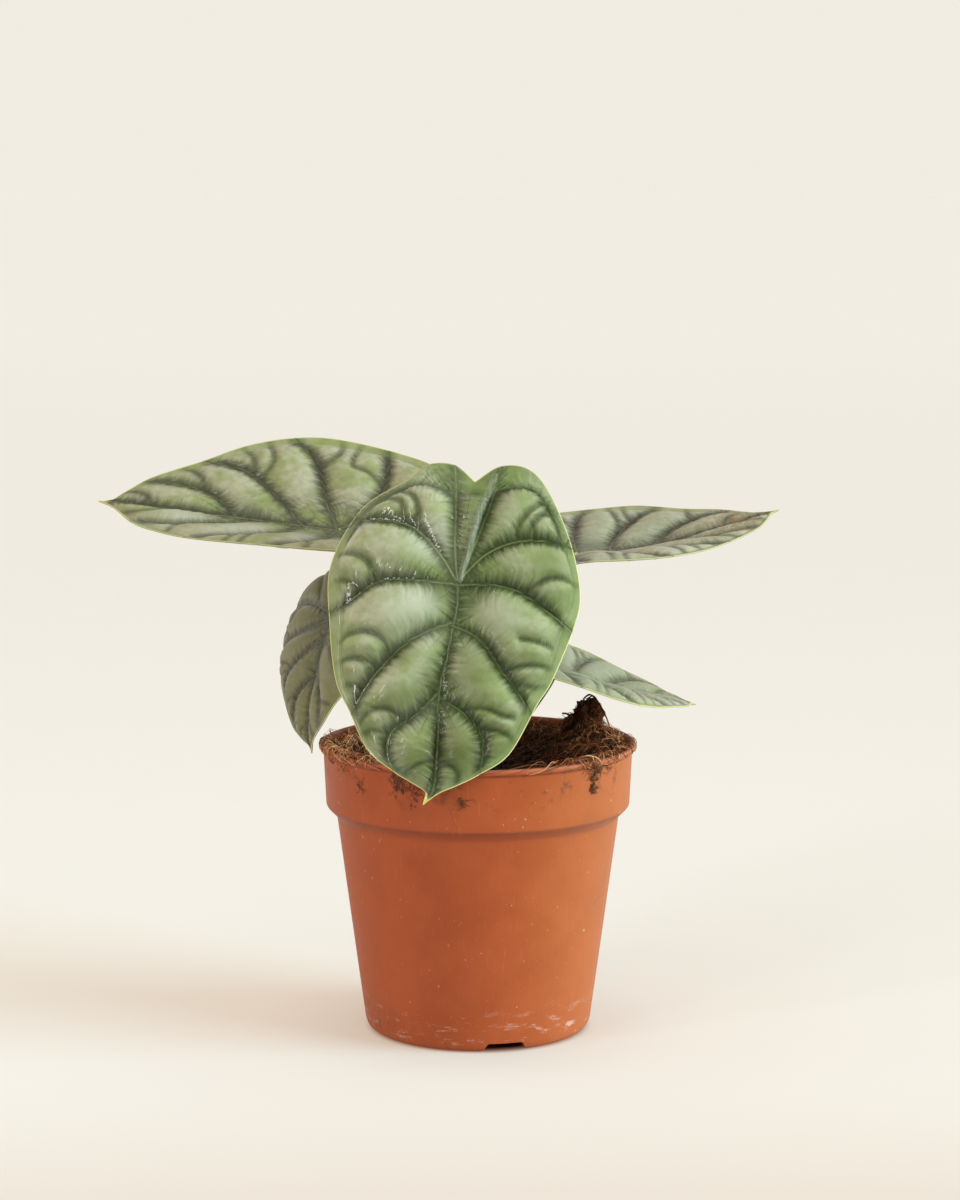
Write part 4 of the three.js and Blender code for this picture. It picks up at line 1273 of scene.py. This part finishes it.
def soil_look(name, dark, pale):
    look = Look(name, Roughness=0.85)
    place = look.place()
    big = look.noise(place, 160, 4, 0.6)
    small = look.noise(place, 900, 5, 0.7)
    look.colour = look.mix(big.step(0.35, 0.65), dark, pale)
    look.paint(small.step(0.5, 0.75, 0.8), (0.17, 0.07, 0.03))
    # Painted shadow of the front rim: the soil is darker towards the front.
    look.paint(look.parts(place)[1].step(0.01, -0.025, 0.6), dark)
    return look.finished(Normal=look.bump(big, 0.002, Normal=look.bump(small, 0.0012)))


def fibre_look():
    look = Look("coir", Roughness=0.7)
    shade = look.parts(look.field("shade"))[0]
    look.colour = look.mix(shade.step(0.05, 0.5), (0.065, 0.02, 0.008), (0.56, 0.18, 0.056))
    look.paint(shade.step(0.5, 0.9), (1, 0.6, 0.3))
    return look.finished()


def floor_look():
    """A pale floor with a soft glow of painted light, which fades into the backdrop far behind and stops
    under the pot.
    """
    look = Look("pale_floor", Roughness=0.8, Specular_IOR_Level=0)
    place = look.place()
    ahead = look.parts(place)[1]
    around = look.reach("LENGTH", place)
    look.colour = look.mix(look.noise(place, 30).step(0.2, 0.8, 0.06), FLOOR_COLOUR, (0.5, 0.5, 0.5))
    # Painted shade: darker towards the front.
    look.paint(ahead.step(-0.06, -0.3, 0.8), (0.335, 0.37, 0.37))
    # A painted shadow: dark brown under the pot, seen through its notches.
    look.paint(around.step(0.044, 0.038), (0.12, 0.04, 0.02))
    # The glow is weaker close around the pot: a painted contact shadow.
    return look.finished(
        Emission_Color=look.mix(ahead.step(0.8, 5), FLOOR_GLOW, FAR_GLOW),
        Emission_Strength=around.step(0.035, 0.043) * around.step(0.043, 0.085, 1, 0.88),
    )


# Scene


def build_floor():
    far = FLOOR_REACH
    points = np.array([(-far, -far, 0), (far, -far, 0), (far, far, 0), (-far, far, 0)], float)
    floor = new_object("floor", points, np.array([(0, 1, 2), (0, 2, 3)]), floor_look())


def add_light(name, kind, energy, at, towards, **settings):
    light = bpy.data.lights.new(name, kind)
    light.energy = energy
    for key, value in settings.items():
        setattr(light, key, value)
    lamp = bpy.data.objects.new(name, light)
    lamp.location = at
    lamp.rotation_euler = (Vector(towards) - Vector(at)).to_track_quat("-Z", "Y").to_euler()
    bpy.context.scene.collection.objects.link(lamp)
    return lamp


def build_world():
    """A studio with a bright ceiling, a backdrop like the floor, and a dark room in front."""
    world = bpy.data.worlds.new("studio")
    world.use_nodes = True
    nodes = Nodes(world.node_tree)
    _, ahead, up = nodes.parts(nodes.node("TexCoord", {}))
    wall = nodes.mix(ahead.step(-0.35, 0.3), ROOM_COLOUR, HORIZON_COLOUR)
    shade = nodes.mix(up.step(0.2, 0.75), wall, CEILING_COLOUR)
    nodes.put(world.node_tree.nodes["Background"], "Color", shade)
    bpy.context.scene.world = world


def build_lights():
    for turn in KEY_TURNS:
        turn, rise = math.radians(turn), math.radians(KEY_RISE)
        at = Vector((math.cos(turn) * math.cos(rise), math.sin(turn) * math.cos(rise), math.sin(rise)))
        key = add_light("key", "SUN", KEY_STRENGTH, at, (0, 0, 0), angle=KEY_ANGLE, color=KEY_COLOUR)
        key.visible_glossy = False
    for name, energy, at, (wide, high), colour in WINDOWS:
        form = dict(shape="RECTANGLE", size=wide, size_y=high)
        add_light(name, "AREA", energy, at, LIT_POINT, color=colour, **form)


def build_camera():
    camera = bpy.data.cameras.new("camera")
    camera.lens = CAMERA_LENS
    camera.sensor_width = 36
    camera.clip_start = 0.01
    camera.clip_end = 100
    eye = bpy.data.objects.new("camera", camera)
    eye.location = CAMERA_AT
    eye.rotation_euler = (math.radians(90 - CAMERA_PITCH), 0, 0)
    bpy.context.scene.collection.objects.link(eye)
    bpy.context.scene.camera = eye


def main():
    bpy.context.scene.view_settings.view_transform = "Standard"
    build_camera()
    build_world()
    build_lights()
    build_floor()
    build_pot(pot_look())
    peat = soil_look("damp_peat", (0.018, 0.008, 0.005), (0.13, 0.042, 0.018))
    build_soil(peat)
    build_clump(soil_look("root_clump", (0.05, 0.016, 0.008), (0.25, 0.08, 0.033)))
    coir = fibre_look()
    build_crumbs(peat)
    build_fibres(coir)
    build_roots(coir)
    build_stuck(coir)
    stalks = stem_look()
    build_stem(stalks)
    grids = {}
    for name, leaf in LEAVES.items():
        key = (leaf["pattern"]["tip"], leaf["grid"])
        if key not in grids:
            grids[key] = pattern_grid(leaf["pattern"], leaf["grid"])
        build_blade(name, leaf, *grids[key], leaf_look(name, **LEAF_LOOKS[name]))
        build_stalk(name, leaf, stalks)


main()
